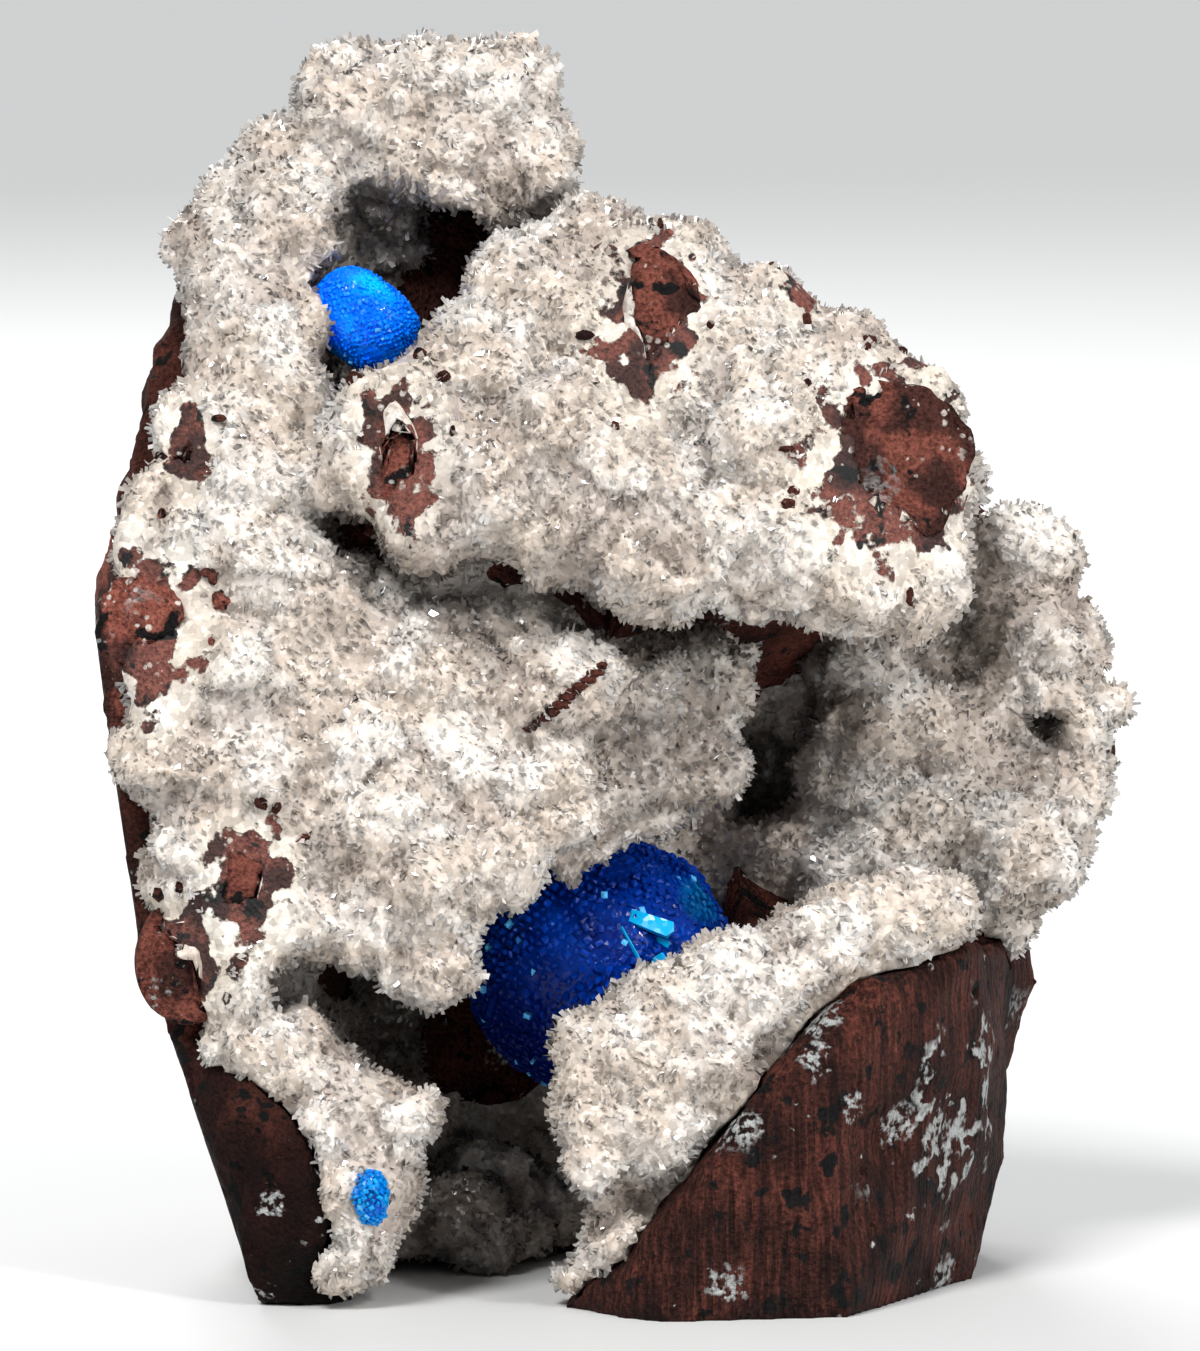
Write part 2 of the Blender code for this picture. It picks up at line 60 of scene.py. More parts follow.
photo_view = bpy.data.cameras.new("photo_view")
photo_view.sensor_width = SENSOR
photo_view.lens = SENSOR * VIEW_DISTANCE / VIEW_HEIGHT
photo_view.clip_start = VIEW_CLIP[0] * MM
photo_view.clip_end = VIEW_CLIP[1] * MM
camera = new_object("photo_view", photo_view)
view_back = Vector((0, -cos(VIEW_ELEVATION), sin(VIEW_ELEVATION)))
camera.location = (VIEW_TARGET + view_back * VIEW_DISTANCE) * MM
camera.rotation_mode = "QUATERNION"
camera.rotation_quaternion = (-view_back).to_track_quat("-Z", "Y")
bpy.context.scene.camera = camera

# Basalt
# The matrix is a fist of red-brown, fine-grained basalt with small gas holes, some of them filled with
# pale minerals. The base, the left side and the lower front were sawn, and the rest was broken.
SPECIMEN_SHIFT = Vector((-0.156, -0.906, 0.0))
SAWN_PLANES = [
    ((-16.8, 30), (-16.4, -24), -2, 0.335),
    ((-23.2, 30), (-22.8, -24), 16, 0.145),
    ((1, -17.2), (10.5, -15.6), -2, 0.06),
    ((12.1, -14.2), (17.1, -4.6), -2, 0.16),
]
PATCHES = [
    (2, 48.3, 2, 3.2), (-10.2, 42.3, 1.6, 3), (14, 41.2, 3.2, 3.6), (-22.3, 33.3, 2, 3.2),
    (-17.6, 21.3, 1.7, 2.4), (-20.8, 17, 1.8, 2.2), (-20.5, 42, 0.9, 2), (9.5, 50, 0.9, 1.2),
]
PATCH_OUTER = 1.8
PATCH_FADE = 0.5
PATCH_FACING = 0.3
PATCH_ROCK = 1.4
PATCH_ROCK_FADE = 0.3
FAR_FROM_PATCH = 3.0
PATCH_PROUD = 0.12
PATCH_SPREAD = 0.25
PATCH_LUMPS = (1.3, 0.3)
RIM_POINTS = 24
RIM_REACH = 1.7
RIM_STEP = 2.6
RIM_STEEPEST = 1.2
RAY_START = -60.0
BASALT_VOXEL = 0.34
BASALT_KEEP = 0.5
HIDDEN_WEIGHT = 8
SAWN_REACH = 0.45
SAWN_FADE = 0.25
SAWN_FACING = 0.75
SAWN_TURN = 0.15
BASE_REACH = 0.35
BASE_FADE = 0.2
BASE_FACING = -0.6
BLOCK_LEFT = -2.0
BLOCK_TOP = 19.5
BLOCK_FADE = 2.0
BLOCK_FACING = 0.2
BLOCK_TURN = 3.0
BLOCK_SAWN = 0.9
BILLOW_FALL = 0.8
BILLOW_STEP = 2.1
BROKEN_LUMPS = (2.4, 0.34)
BROKEN_CHIPS = (1.5, 0.22)
BROKEN_SCOOPS = (6.5, 1.1)
CELL_MIDDLE = 0.4
SCOOP_START = 6.0
SCOOP_FADE = 4.0
SCOOP_TURN = 2.0
PIT_SPACING = 2.3
PIT_WIDTH = 0.16
PIT_DEPTH = 0.35
COVER_REACH = 0.75
COVER_SINK = 0.45
RAGGED_EDGE = 1.5
RAGGED_SIZE = 2.5
RAGGED_FADE = 0.5
# Places where painted shade darkens the rock: the shaded foot at the front left, the caves and the recesses
# under the crust's overhangs.
ROCK_SHADE_PLACES = [
    ((-15.0, -16.0, 3.0), 10.0, 1.0), ((-7.0, -1.0, 12.0), 7.0, 1.0), ((0.0, -5.0, 34.0), 6.5, 1.0),
    ((7.5, 1.0, 28.0), 6.5, 1.0), ((5.5, 2.0, 18.0), 5.0, 1.0),
]
RED_EDGE = (-23.5, -9.0, 33.0)
VEINED_CORNER = (19.5, -9.0, 9.0)
VEIN_RANGE = (0.055, 0.045)
SAW_LINES = (3.4, 3.4, 0.12)
SAW_RELIEF = -0.7
STREAK_RANGE = (0.40, 0.58)
RED_RANGE = (2.2, 1.6)
PATCH_REDNESS = 0.65
GRAIN_RELIEF = -0.35
FLECK_CORE = 0.7
BASALT_ROUGHNESS = 0.85
SAWN_SMOOTHER = -0.2
BASALT_GLOSS = 0.12
BASALT_DARK = (0.022, 0.007, 0.005, 1)
BASALT_RED = (0.105, 0.031, 0.021, 1)
BASALT_BLACK = (0.006, 0.005, 0.005, 1)
BRICK_RED = (0.27, 0.085, 0.060, 1)
PATCH_BROWN = (0.055, 0.022, 0.018, 1)
CAUGHT_CRYSTAL = (0.62, 0.56, 0.50, 1)
AMYGDULE_GREY = (0.40, 0.41, 0.40, 1)
GRAIN_SHADE = (0.42, 0.38, 0.38, 1)
ROCK_SHADE_TINT = (0.16, 0.14, 0.14, 1)
RIDGE_SHADE = (1.2, 1.15, 1.15, 1)
GROOVE_SHADE = (0.38, 0.36, 0.36, 1)


def read_array(items, name, width):
    values = np.empty(len(items) * width, np.float32)
    items.foreach_get(name, values)
    return values.reshape(-1, width).astype(float)


def read_surface(mesh):
    """The places of a mesh's points in millimetres, and the normals there."""
    return read_array(mesh.vertices, "co", 3) / MM, read_array(mesh.vertices, "normal", 3)


def write_points(mesh, points):
    mesh.vertices.foreach_set("co", (points * MM).astype(np.float32).ravel())


def evened_skin(node, name, voxel):
    """A new piece with the shape of a CAD node and even small facets."""
    piece = new_object(name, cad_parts[node].data.copy())
    piece.data.materials.clear()
    skin = piece.modifiers.new("skin", "REMESH")
    skin.mode = "VOXEL"
    skin.voxel_size = voxel * MM
    graph = bpy.context.evaluated_depsgraph_get()
    mesh = bpy.data.meshes.new_from_object(piece.evaluated_get(graph))
    mesh.name = name
    piece.modifiers.clear()
    piece.data = mesh
    return piece


def sawn_share(points, normals):
    """1 on the sawn faces, 0 on broken or grown ones."""
    share = np.clip((BASE_REACH - points[:, 2]) / BASE_FADE, 0, 1) * (normals[:, 2] < BASE_FACING)
    for start, end, low, lean in SAWN_PLANES:
        along = (Vector(end) - Vector(start)).normalized()
        out = Vector((along.y, -along.x, -lean)).normalized()
        foot = Vector((*start, low)) + SPECIMEN_SHIFT
        away = np.abs((points - np.array(foot)) @ np.array(out))
        facing = np.clip((normals @ np.array(out) - SAWN_FACING) / SAWN_TURN, 0, 1)
        share = np.maximum(share, np.clip((SAWN_REACH - away) / SAWN_FADE, 0, 1) * facing)
    return share


def billows(points, size, octaves=4):
    """A cloudy noise about 0 at each point."""
    return np.array([noise.fractal(Vector(p) / size, BILLOW_FALL, BILLOW_STEP, octaves) for p in points])


def ragged_share(points, places):
    """How deep each point lies in any of some round places with ragged edges, from 0 to 1."""
    ragged = RAGGED_EDGE * billows(points, RAGGED_SIZE, 3)
    share = np.zeros(len(points))
    for centre, radius, strength in places:
        apart = np.linalg.norm(points - centre, axis=1) + ragged
        share = np.maximum(share, strength * np.clip((radius - apart) / (radius * RAGGED_FADE), 0, 1))
    return share


def cell_distance(points, size):
    """How far each point is from the middle of its cell, in cells."""
    return np.array([noise.voronoi(Vector(p) / size)[0][0] for p in points])


def ray_tree(mesh):
    faces = [face.vertices for face in mesh.polygons]
    return BVHTree.FromPolygons([vert.co for vert in mesh.vertices], faces)


def node_tree(node):
    return ray_tree(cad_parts[node].data)


def patch_planes():
    """The crust's front face round each patch, as y = a + b x + c z."""
    crust = node_tree("stilbite_crust")
    planes = []
    for x, z, half_x, half_z in PATCHES:
        met = []
        for turn in np.linspace(0, 2 * np.pi, RIM_POINTS, endpoint=False):
            start = Vector((x + SPECIMEN_SHIFT.x + RIM_REACH * half_x * cos(turn), RAY_START,
                            z + RIM_REACH * half_z * sin(turn)))
            hit = crust.ray_cast(start * MM, Vector((0, 1, 0)))[0]
            if hit is not None:
                met.append(hit / MM)
        met = np.array(met)
        met = met[np.abs(met[:, 1] - np.median(met[:, 1])) < RIM_STEP]
        known = np.stack([np.ones(len(met)), met[:, 0], met[:, 2]], 1)
        slope = np.linalg.lstsq(known, met[:, 1], rcond=None)[0]
        slope[1:] = np.clip(slope[1:], -RIM_STEEPEST, RIM_STEEPEST)
        slope[0] = np.mean(met[:, 1] - met[:, 0] * slope[1] - met[:, 2] * slope[2])
        planes.append(slope)
    return np.array(planes)


def patch_distance(points):
    """How many half widths off the nearest patch each point is, and that patch's level and middle."""
    nearest = np.full(len(points), FAR_FROM_PATCH)
    level = np.zeros(len(points))
    middle = np.zeros((len(points), 3))
    for (x, z, half_x, half_z), plane in zip(PATCHES, PATCH_PLANES):
        aside = (points[:, 0] - x - SPECIMEN_SHIFT.x) / half_x
        above = (points[:, 2] - z) / half_z
        apart = np.sqrt(aside ** 2 + above ** 2)
        closer = apart < nearest
        nearest[closer] = apart[closer]
        level[closer] = (plane[0] + points[:, 0] * plane[1] + points[:, 2] * plane[2])[closer]
        middle[closer] = (x + SPECIMEN_SHIFT.x, 0, z)
    return nearest, level, middle


def near_a_patch(points, normals, apart, level):
    """1 on a patch and close round it, 0 elsewhere."""
    front = (normals[:, 1] < PATCH_FACING) & (np.abs(points[:, 1] - level) < RIM_STEP)
    return np.clip((PATCH_OUTER - apart) / PATCH_FADE, 0, 1) * front


def faces_node(points, normals, tree, reach):
    """True where the surface of another node lies just in front."""
    met = np.zeros(len(points), bool)
    for index, (point, normal) in enumerate(zip(points, normals)):
        met[index] = tree.ray_cast(Vector(point) * MM, Vector(normal), reach * MM)[0] is not None
    return met


def thinned(piece, hidden, keep):
    """Fewer facets where a piece is hidden under another."""
    group = piece.vertex_groups.new(name="hidden")
    group.add([int(index) for index in np.flatnonzero(hidden)], 1.0, "REPLACE")
    fewer = piece.modifiers.new("fewer", "DECIMATE")
    fewer.ratio = keep
    fewer.vertex_group = "hidden"
    fewer.vertex_group_factor = HIDDEN_WEIGHT
    graph = bpy.context.evaluated_depsgraph_get()
    mesh = bpy.data.meshes.new_from_object(piece.evaluated_get(graph))
    piece.modifiers.clear()
    piece.vertex_groups.clear()
    piece.data = mesh
    mesh.name = piece.name


def set_attribute(mesh, name, values):
    layer = mesh.attributes.new(name, "FLOAT", "POINT")
    layer.data.foreach_set("value", np.asarray(values, np.float32))


def shape_basalt(piece):
    mesh = piece.data
    points, normals = read_surface(mesh)
    covered = faces_node(points, normals, node_tree("stilbite_crust"), COVER_REACH)
    block = np.clip(points[:, 0] - BLOCK_LEFT, 0, 1)
    block *= np.clip((BLOCK_TOP - points[:, 2]) / BLOCK_FADE, 0, 1)
    block *= np.clip((BLOCK_FACING - normals[:, 1]) * BLOCK_TURN, 0, 1) * ~covered
    sawn = np.maximum(sawn_share(points, normals), BLOCK_SAWN * block)
    lumps = BROKEN_LUMPS[1] * billows(points, BROKEN_LUMPS[0])
    chips = BROKEN_CHIPS[1] * (cell_distance(points, BROKEN_CHIPS[0]) - CELL_MIDDLE)
    back = np.clip((points[:, 1] - SCOOP_START) / SCOOP_FADE, 0, 1)
    back = np.clip(normals[:, 1] * SCOOP_TURN, 0, 1) * back
    scoops = BROKEN_SCOOPS[1] * back * (cell_distance(points, BROKEN_SCOOPS[0]) - CELL_MIDDLE)
    pits = np.clip(1 - cell_distance(points, PIT_SPACING) / PIT_WIDTH, 0, 1)
    out = np.where(covered, -COVER_SINK, (1 - sawn) * (lumps + chips + scoops) - PIT_DEPTH * pits)
    apart, level, middle = patch_distance(points)
    near = near_a_patch(points, normals, apart, level)
    near = near * np.clip((PATCH_ROCK - apart) / PATCH_ROCK_FADE, 0, 1) * ~covered
    points += normals * out[:, None]
    rough = level - PATCH_PROUD + PATCH_LUMPS[1] * billows(points, PATCH_LUMPS[0])
    points[:, 1] += near * (rough - points[:, 1])
    for axis in (0, 2):
        points[:, axis] += (points[:, axis] - middle[:, axis]) * near * PATCH_SPREAD
    points[:, 2] = np.maximum(points[:, 2], 0)
    write_points(mesh, points)
    set_attribute(mesh, "sawn", sawn)
    set_attribute(mesh, "rock_shade", ragged_share(points, ROCK_SHADE_PLACES))
    set_attribute(mesh, "patch", np.where(near > 0, apart, FAR_FROM_PATCH))
    mesh.update()
    thinned(piece, covered, BASALT_KEEP)
    piece.data.shade_smooth()


def shader_node(tree, kind, inputs=None, **settings):
    """A shader node with its settings, its inputs either linked or set."""
    node = tree.nodes.new(kind)
    for key, value in settings.items():
        setattr(node, key, value)
    for key, value in (inputs or {}).items():
        if isinstance(value, bpy.types.NodeSocket):
            tree.links.new(value, node.inputs[key])
        else:
            node.inputs[key].default_value = value
    return node


def calculate(tree, operation, *values):
    return shader_node(tree, "ShaderNodeMath", dict(enumerate(values)), operation=operation).outputs[0]


def calculate_vector(tree, operation, *values):
    node = shader_node(tree, "ShaderNodeVectorMath", dict(enumerate(values)), operation=operation)
    return node.outputs[0]


def ramp(tree, value, start, end, top=1.0):
    """0 where the value is at start, rising to top where it is at end."""
    return shader_node(tree, "ShaderNodeMapRange", {
        "Value": value, "From Min": start, "From Max": end, "To Max": top}).outputs[0]


def blend(tree, share, first, second, kind="MIX"):
    """Two colours mixed by a share from 0 to 1."""
    node = tree.nodes.new("ShaderNodeMix")
    node.data_type = "RGBA"
    node.blend_type = kind
    sockets = {item.identifier: item for item in node.inputs}
    for key, value in (("Factor_Float", share), ("A_Color", first), ("B_Color", second)):
        if isinstance(value, bpy.types.NodeSocket):
            tree.links.new(value, sockets[key])
        else:
            sockets[key].default_value = value
    return [item for item in node.outputs if item.identifier == "Result_Color"][0]


def attribute(tree, name):
    return shader_node(tree, "ShaderNodeAttribute", attribute_name=name).outputs["Fac"]


def place_in_mm(tree):
    place = shader_node(tree, "ShaderNodeTexCoord")
    return shader_node(tree, "ShaderNodeVectorMath", {0: place.outputs["Object"], "Scale": 1 / MM},
                       operation="SCALE").outputs[0]


def new_effect(name, inputs, outputs):
    """An empty shader node group with its sockets, and what its nodes read from."""
    group = bpy.data.node_groups.new(name, "ShaderNodeTree")
    for key, value in inputs.items():
        kind = "NodeSocketFloat" if isinstance(value, float) else "NodeSocketVector"
        group.interface.new_socket(key, in_out="INPUT", socket_type=kind).default_value = value
    for key, kind in outputs.items():
        group.interface.new_socket(key, in_out="OUTPUT", socket_type=kind)
    return group, group.nodes.new("NodeGroupInput").outputs


def finish_effect(group, **values):
    """Links the effect's results to its outputs."""
    result = group.nodes.new("NodeGroupOutput")
    for key, value in values.items():
        group.links.new(value, result.inputs[key])
    return group


def effect(tree, group, **inputs):
    return shader_node(tree, "ShaderNodeGroup", inputs, node_tree=group).outputs


def mottle_group():
    """Soft-edged patches where a noise passes a level."""
    group, given = new_effect(
        "Mottle", {"Size": 2.0, "Detail": 3.0, "Level": 0.5, "Softness": 0.1, "Shift": 0.0},
        {"Mask": "NodeSocketFloat", "Value": "NodeSocketFloat"})
    cloud = shader_node(group, "ShaderNodeTexNoise", {
        "Vector": calculate_vector(group, "ADD", place_in_mm(group), given["Shift"]),
        "Scale": calculate(group, "DIVIDE", 1.0, given["Size"]), "Detail": given["Detail"]}).outputs["Fac"]
    low = calculate(group, "SUBTRACT", given["Level"], given["Softness"])
    high = calculate(group, "ADD", given["Level"], given["Softness"])
    return finish_effect(group, Mask=ramp(group, cloud, low, high), Value=cloud)


def ragged_spot_group():
    """A ragged round spot about one place, for real tints and for painted light and shade."""
    group, given = new_effect(
        "Ragged spot", {"Centre": (0, 0, 0), "Radius": 2.0, "Ragged": 0.8, "Softness": 0.4},
        {"Mask": "NodeSocketFloat"})
    place = place_in_mm(group)
    cloud = shader_node(group, "ShaderNodeTexNoise", {"Vector": place, "Scale": 0.8, "Detail": 4.0})
    apart = shader_node(group, "ShaderNodeVectorMath", {0: place, 1: given["Centre"]}, operation="DISTANCE")
    loose = calculate(group, "SUBTRACT", cloud.outputs["Fac"], 0.5)
    ragged = calculate(group, "MULTIPLY_ADD", loose, given["Ragged"], apart.outputs["Value"])
    inner = calculate(group, "SUBTRACT", given["Radius"], given["Softness"])
    return finish_effect(group, Mask=ramp(group, ragged, given["Radius"], inner))


def fleck_group():
    """Small separate spots with ragged rims."""
    group, given = new_effect(
        "Flecks", {"Spacing": 2.0, "Width": 0.25, "Ragged": 0.3, "Shift": 0.0}, {"Mask": "NodeSocketFloat"})
    moved = calculate_vector(group, "ADD", place_in_mm(group), given["Shift"])
    warp = shader_node(group, "ShaderNodeTexNoise", {"Vector": moved, "Scale": 1.7, "Detail": 3.0})
    bent = calculate_vector(group, "MULTIPLY_ADD", warp.outputs["Color"], given["Ragged"], moved)
    scale = calculate(group, "DIVIDE", 1.0, given["Spacing"])
    cells = shader_node(group, "ShaderNodeTexVoronoi", {"Vector": bent, "Scale": scale})
    size = shader_node(group, "ShaderNodeSeparateColor", {"Color": cells.outputs["Color"]})
    width = calculate(group, "MULTIPLY", size.outputs[0], given["Width"])
    rim = calculate(group, "MULTIPLY", width, FLECK_CORE)
    return finish_effect(group, Mask=ramp(group, cells.outputs["Distance"], width, rim))


def facet_group():
    """Small flat facets that lean every way, as in a crushed or sugary surface."""
    group, given = new_effect(
        "Facets", {"Size": 0.4, "Shift": 0.0}, {"Height": "NodeSocketFloat", "Value": "NodeSocketFloat"})
    moved = calculate_vector(group, "ADD", place_in_mm(group), given["Shift"])
    scale = calculate(group, "DIVIDE", 1.0, given["Size"])
    cells = shader_node(group, "ShaderNodeTexVoronoi", {"Vector": moved, "Scale": scale})
    off = calculate_vector(group, "SUBTRACT", moved, cells.outputs["Position"])
    lean = calculate_vector(group, "SUBTRACT", cells.outputs["Color"], (0.5, 0.5, 0.5))
    height = shader_node(group, "ShaderNodeVectorMath", {0: off, 1: lean}, operation="DOT_PRODUCT")
    parts = shader_node(group, "ShaderNodeSeparateColor", {"Color": cells.outputs["Color"]})
    return finish_effect(group, Height=height.outputs["Value"], Value=parts.outputs[1])


MOTTLE = mottle_group()
RAGGED_SPOT = ragged_spot_group()
FLECKS = fleck_group()
FACETS = facet_group()


def mottle(tree, size, detail, level, softness, shift=0.0):
    patches = effect(tree, MOTTLE, Size=size, Detail=detail, Level=level, Softness=softness, Shift=shift)
    return patches["Mask"]


def ragged_spot(tree, centre, radius, ragged, softness):
    return effect(tree, RAGGED_SPOT, Centre=centre, Radius=radius, Ragged=ragged, Softness=softness)["Mask"]


def flecks(tree, spacing, width, ragged, shift):
    return effect(tree, FLECKS, Spacing=spacing, Width=width, Ragged=ragged, Shift=shift)["Mask"]


def basalt_tone_group():
    """The basalt's colour and fine relief, which also show where the crust has come off."""
    group, given = new_effect(
        "Basalt tone", {"Red": 0.0}, {"Color": "NodeSocketColor", "Height": "NodeSocketFloat"})
    clouds = mottle(group, size=3.6, detail=6.0, level=0.5, softness=0.14)
    colour = blend(group, clouds, BASALT_DARK, BASALT_RED)
    rust = mottle(group, size=2.6, detail=5.0, level=0.5, softness=0.05, shift=21.0)
    colour = blend(group, given["Red"], colour, blend(group, rust, BRICK_RED, PATCH_BROWN))
    grain = effect(group, MOTTLE, Size=0.22, Detail=3.0, Level=0.52, Softness=0.14)
    colour = blend(group, grain["Mask"], colour, GRAIN_SHADE, "MULTIPLY")
    specks = mottle(group, size=1.3, detail=5.0, level=0.6, softness=0.02, shift=9.0)
    colour = blend(group, specks, colour, BASALT_BLACK)
    dust = flecks(group, spacing=0.5, width=0.42, ragged=0.35, shift=31.0)
    drifts = mottle(group, size=1.9, detail=3.0, level=0.55, softness=0.06, shift=27.0)
    strewn = calculate(group, "MULTIPLY", calculate(group, "MULTIPLY", dust, drifts), given["Red"])
    colour = blend(group, strewn, colour, CAUGHT_CRYSTAL)
    facets = effect(group, FACETS, Size=0.3, Shift=2.0)["Height"]
    height = calculate(group, "MULTIPLY_ADD", grain["Value"], GRAIN_RELIEF, facets)
    return finish_effect(group, Color=colour, Height=height)


BASALT_TONE = basalt_tone_group()


def new_material(name):
    made = bpy.data.materials.new(name)
    made.use_nodes = True
    return made, made.node_tree, made.node_tree.nodes["Principled BSDF"]


def add_relief(tree, shader, height, strength=1.0):
    bump = shader_node(tree, "ShaderNodeBump", {"Height": height, "Strength": strength, "Distance": MM})
    tree.links.new(bump.outputs["Normal"], shader.inputs["Normal"])


def amygdule_share(tree):
    """Where pale minerals fill gas holes, in speckled spots and small dots."""
    large = flecks(tree, spacing=3.6, width=0.42, ragged=2.3, shift=3.0)
    small = flecks(tree, spacing=1.5, width=0.17, ragged=0.4, shift=17.0)
    speckle = mottle(tree, size=0.4, detail=4.0, level=0.5, softness=0.05, shift=5.0)
    areas = mottle(tree, size=8.0, detail=1.0, level=0.46, softness=0.05, shift=13.0)
    spots = calculate(tree, "MULTIPLY", calculate(tree, "MAXIMUM", large, small), speckle)
    return calculate(tree, "MULTIPLY", spots, areas)


def vein_share(tree):
    """Where broken veins run through the sawn corner."""
    seam = effect(tree, MOTTLE, Size=3.4, Detail=5.0, Shift=11.0)["Value"]
    off_middle = calculate(tree, "ABSOLUTE", calculate(tree, "SUBTRACT", seam, 0.5))
    corner = ragged_spot(tree, VEINED_CORNER, radius=6.0, ragged=7.0, softness=1.0)
    line = calculate(tree, "MULTIPLY", ramp(tree, off_middle, *VEIN_RANGE), corner)
    breaks = mottle(tree, size=0.9, detail=5.0, level=0.5, softness=0.04, shift=15.0)
    return calculate(tree, "MULTIPLY", line, breaks)


def basalt_material():
    made, tree, shader = new_material("basalt_red_brown")
    sawn = attribute(tree, "sawn")
    red = ragged_spot(tree, RED_EDGE, radius=8.0, ragged=5.0, softness=1.0)
    patch = ramp(tree, attribute(tree, "patch"), *RED_RANGE, PATCH_REDNESS)
    tone = effect(tree, BASALT_TONE, Red=calculate(tree, "MAXIMUM", red, patch))
    # Painted shade darkens the rock in the shaded places.
    colour = blend(tree, attribute(tree, "rock_shade"), tone["Color"], ROCK_SHADE_TINT, "MULTIPLY")
    stretched = calculate_vector(tree, "MULTIPLY", place_in_mm(tree), SAW_LINES)
    saw_lines = shader_node(tree, "ShaderNodeTexNoise", {"Vector": stretched, "Scale": 1.0, "Detail": 3.0})
    lines = saw_lines.outputs["Fac"]
    streaks = blend(tree, ramp(tree, lines, *STREAK_RANGE), RIDGE_SHADE, GROOVE_SHADE)
    colour = blend(tree, sawn, colour, streaks, "MULTIPLY")
    pale = calculate(tree, "MAXIMUM", amygdule_share(tree), vein_share(tree))
    tree.links.new(blend(tree, pale, colour, AMYGDULE_GREY), shader.inputs["Base Color"])
    rough = calculate(tree, "MULTIPLY_ADD", sawn, SAWN_SMOOTHER, BASALT_ROUGHNESS)
    tree.links.new(rough, shader.inputs["Roughness"])
    marks = calculate(tree, "MULTIPLY", lines, sawn)
    add_relief(tree, shader, calculate(tree, "MULTIPLY_ADD", marks, SAW_RELIEF, tone["Height"]))
    shader.inputs["Specular IOR Level"].default_value = BASALT_GLOSS
    return made


PATCH_PLANES = patch_planes()
basalt = evened_skin("basalt_matrix", "basalt", BASALT_VOXEL)
shape_basalt(basalt)
basalt.data.materials.append(basalt_material())
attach(basalt, "root")
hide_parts("basalt_matrix")

# Stilbite ground
# Under the separate crystals lies a milky ground of grown-together stilbite, in round knobs on the
# basalt. It is cut off clean with the rock at the sawn left side.
CRUST_VOXEL = 0.34
CRUST_KEEP = 0.62
CRUST_MEET = 0.34
CRUST_BACK = 0.7
CRUST_FOOT = 0.02
CRUST_SINK = 0.55
DEEPEST_FURROW = 0.5
KNOBS = [(3.6, 1.3), (1.5, 0.34)]
KNOB_SEED = 3
KNOB_BEND = (0.35, 0.9)
KNOB_CRINKLE = (0.12, 3.1)
KNOB_SIDE = 0.55
KNOB_STEEP = 0.55
KNOB_ROUND = 0.45
KNOB_LOWEST = 0.55
KNOB_VARIES = 0.45
KNOB_DRAW = 7.3
HOLE_SHRINK = 0.4
HOLE_EDGE = 1.6
HOLE_FLATNESS = 0.8
HOLE_LUMPS = (1.1, 0.2)
OPEN_SEED = 12
OPEN_RAYS = 12
OPEN_START = 0.7
OPEN_LEAN = 1.05
OPEN_REACH = 9.0
OPEN_ENOUGH = 0.8
OPEN_FADE = 0.6
# Painted shade: the crust darkens where few directions lie open, and in the shaded zones deep in the
# hollows.
HOLLOW_SHADE_SHARE = 0.88
VEIL_SIZE = 3.2
VEIL_STRENGTH = 1.6
SHADED_ZONES = [
    ((3.0, -9.0, 28.0), 5.5, 0.6), ((-11.5, 0.0, 11.5), 7.5, 0.93), ((-7.0, -4.0, 3.0), 6.0, 0.85),
    ((10.0, 0.0, 28.0), 6.5, 0.5), ((-5.5, -8.5, 34.5), 4.5, 0.55), ((16.0, 2.0, 32.5), 4.5, 0.7),
    ((22.1, 3.2, 26.9), 1.9, 0.95),
]
PATCH_EDGE = 1.25
CHIPPED_REACH = 2.6
CHIPPED_RAGGED = 2.6
CHIPPED_FADE = 0.04
CHIPPED_RED = 0.7
RIM_RANGE = (2.2, 1.5)
RIM_SHARE = 0.3
FURROW_RANGE = (0.62, 0.98)
GROUND_ROUGHNESS = 0.35
CHIPPED_ROUGHER = 0.45
GROUND_PALE = (0.76, 0.705, 0.65, 1)
GROUND_DULL = (0.60, 0.54, 0.48, 1)
RIM_CREAM = (0.70, 0.65, 0.55, 1)
# Painted shade in the furrows between the knobs.
FURROW_SHADE_BROWN = (0.38, 0.31, 0.265, 1)
BEIGE_VEIL = (0.83, 0.77, 0.715, 1)
HOLLOW_SHADE_BROWN = (0.055, 0.043, 0.035, 1)


def knob_height(points, size):
    """Round knobs side by side with furrows between them, from 0 to 1."""
    noise.seed_set(KNOB_SEED)
    rise = np.empty(len(points))
    for index, point in enumerate(points):
        place = Vector(point) / size
        bend = KNOB_BEND[0] * noise.noise_vector(place * KNOB_BEND[1])
        place += bend + KNOB_CRINKLE[0] * noise.noise_vector(place * KNOB_CRINKLE[1])
        (near, following, *_), (middle, *_) = noise.voronoi(place)
        edge = 1 - min(1, (following - near) / KNOB_SIDE)
        dome = KNOB_STEEP * (1 - edge * edge) ** 0.5 + KNOB_ROUND * (1 - min(1, near * near))
        rise[index] = dome * (KNOB_LOWEST + KNOB_VARIES * noise.cell(middle * KNOB_DRAW))
    return rise


def openness(points, normals, tree):
    """The share of directions in which nothing stands in front of each point."""
    rng = np.random.default_rng(OPEN_SEED)
    spread = rng.normal(size=(OPEN_RAYS, 3))
    spread /= np.linalg.norm(spread, axis=1)[:, None]
    share = np.zeros(len(points))
    for index, (point, normal) in enumerate(zip(points, normals)):
        start = Vector(point + normal * OPEN_START) * MM
        for way in spread:
            way = Vector(normal * OPEN_LEAN + way)
            share[index] += tree.ray_cast(start, way, OPEN_REACH * MM)[0] is None
    return share / OPEN_RAYS


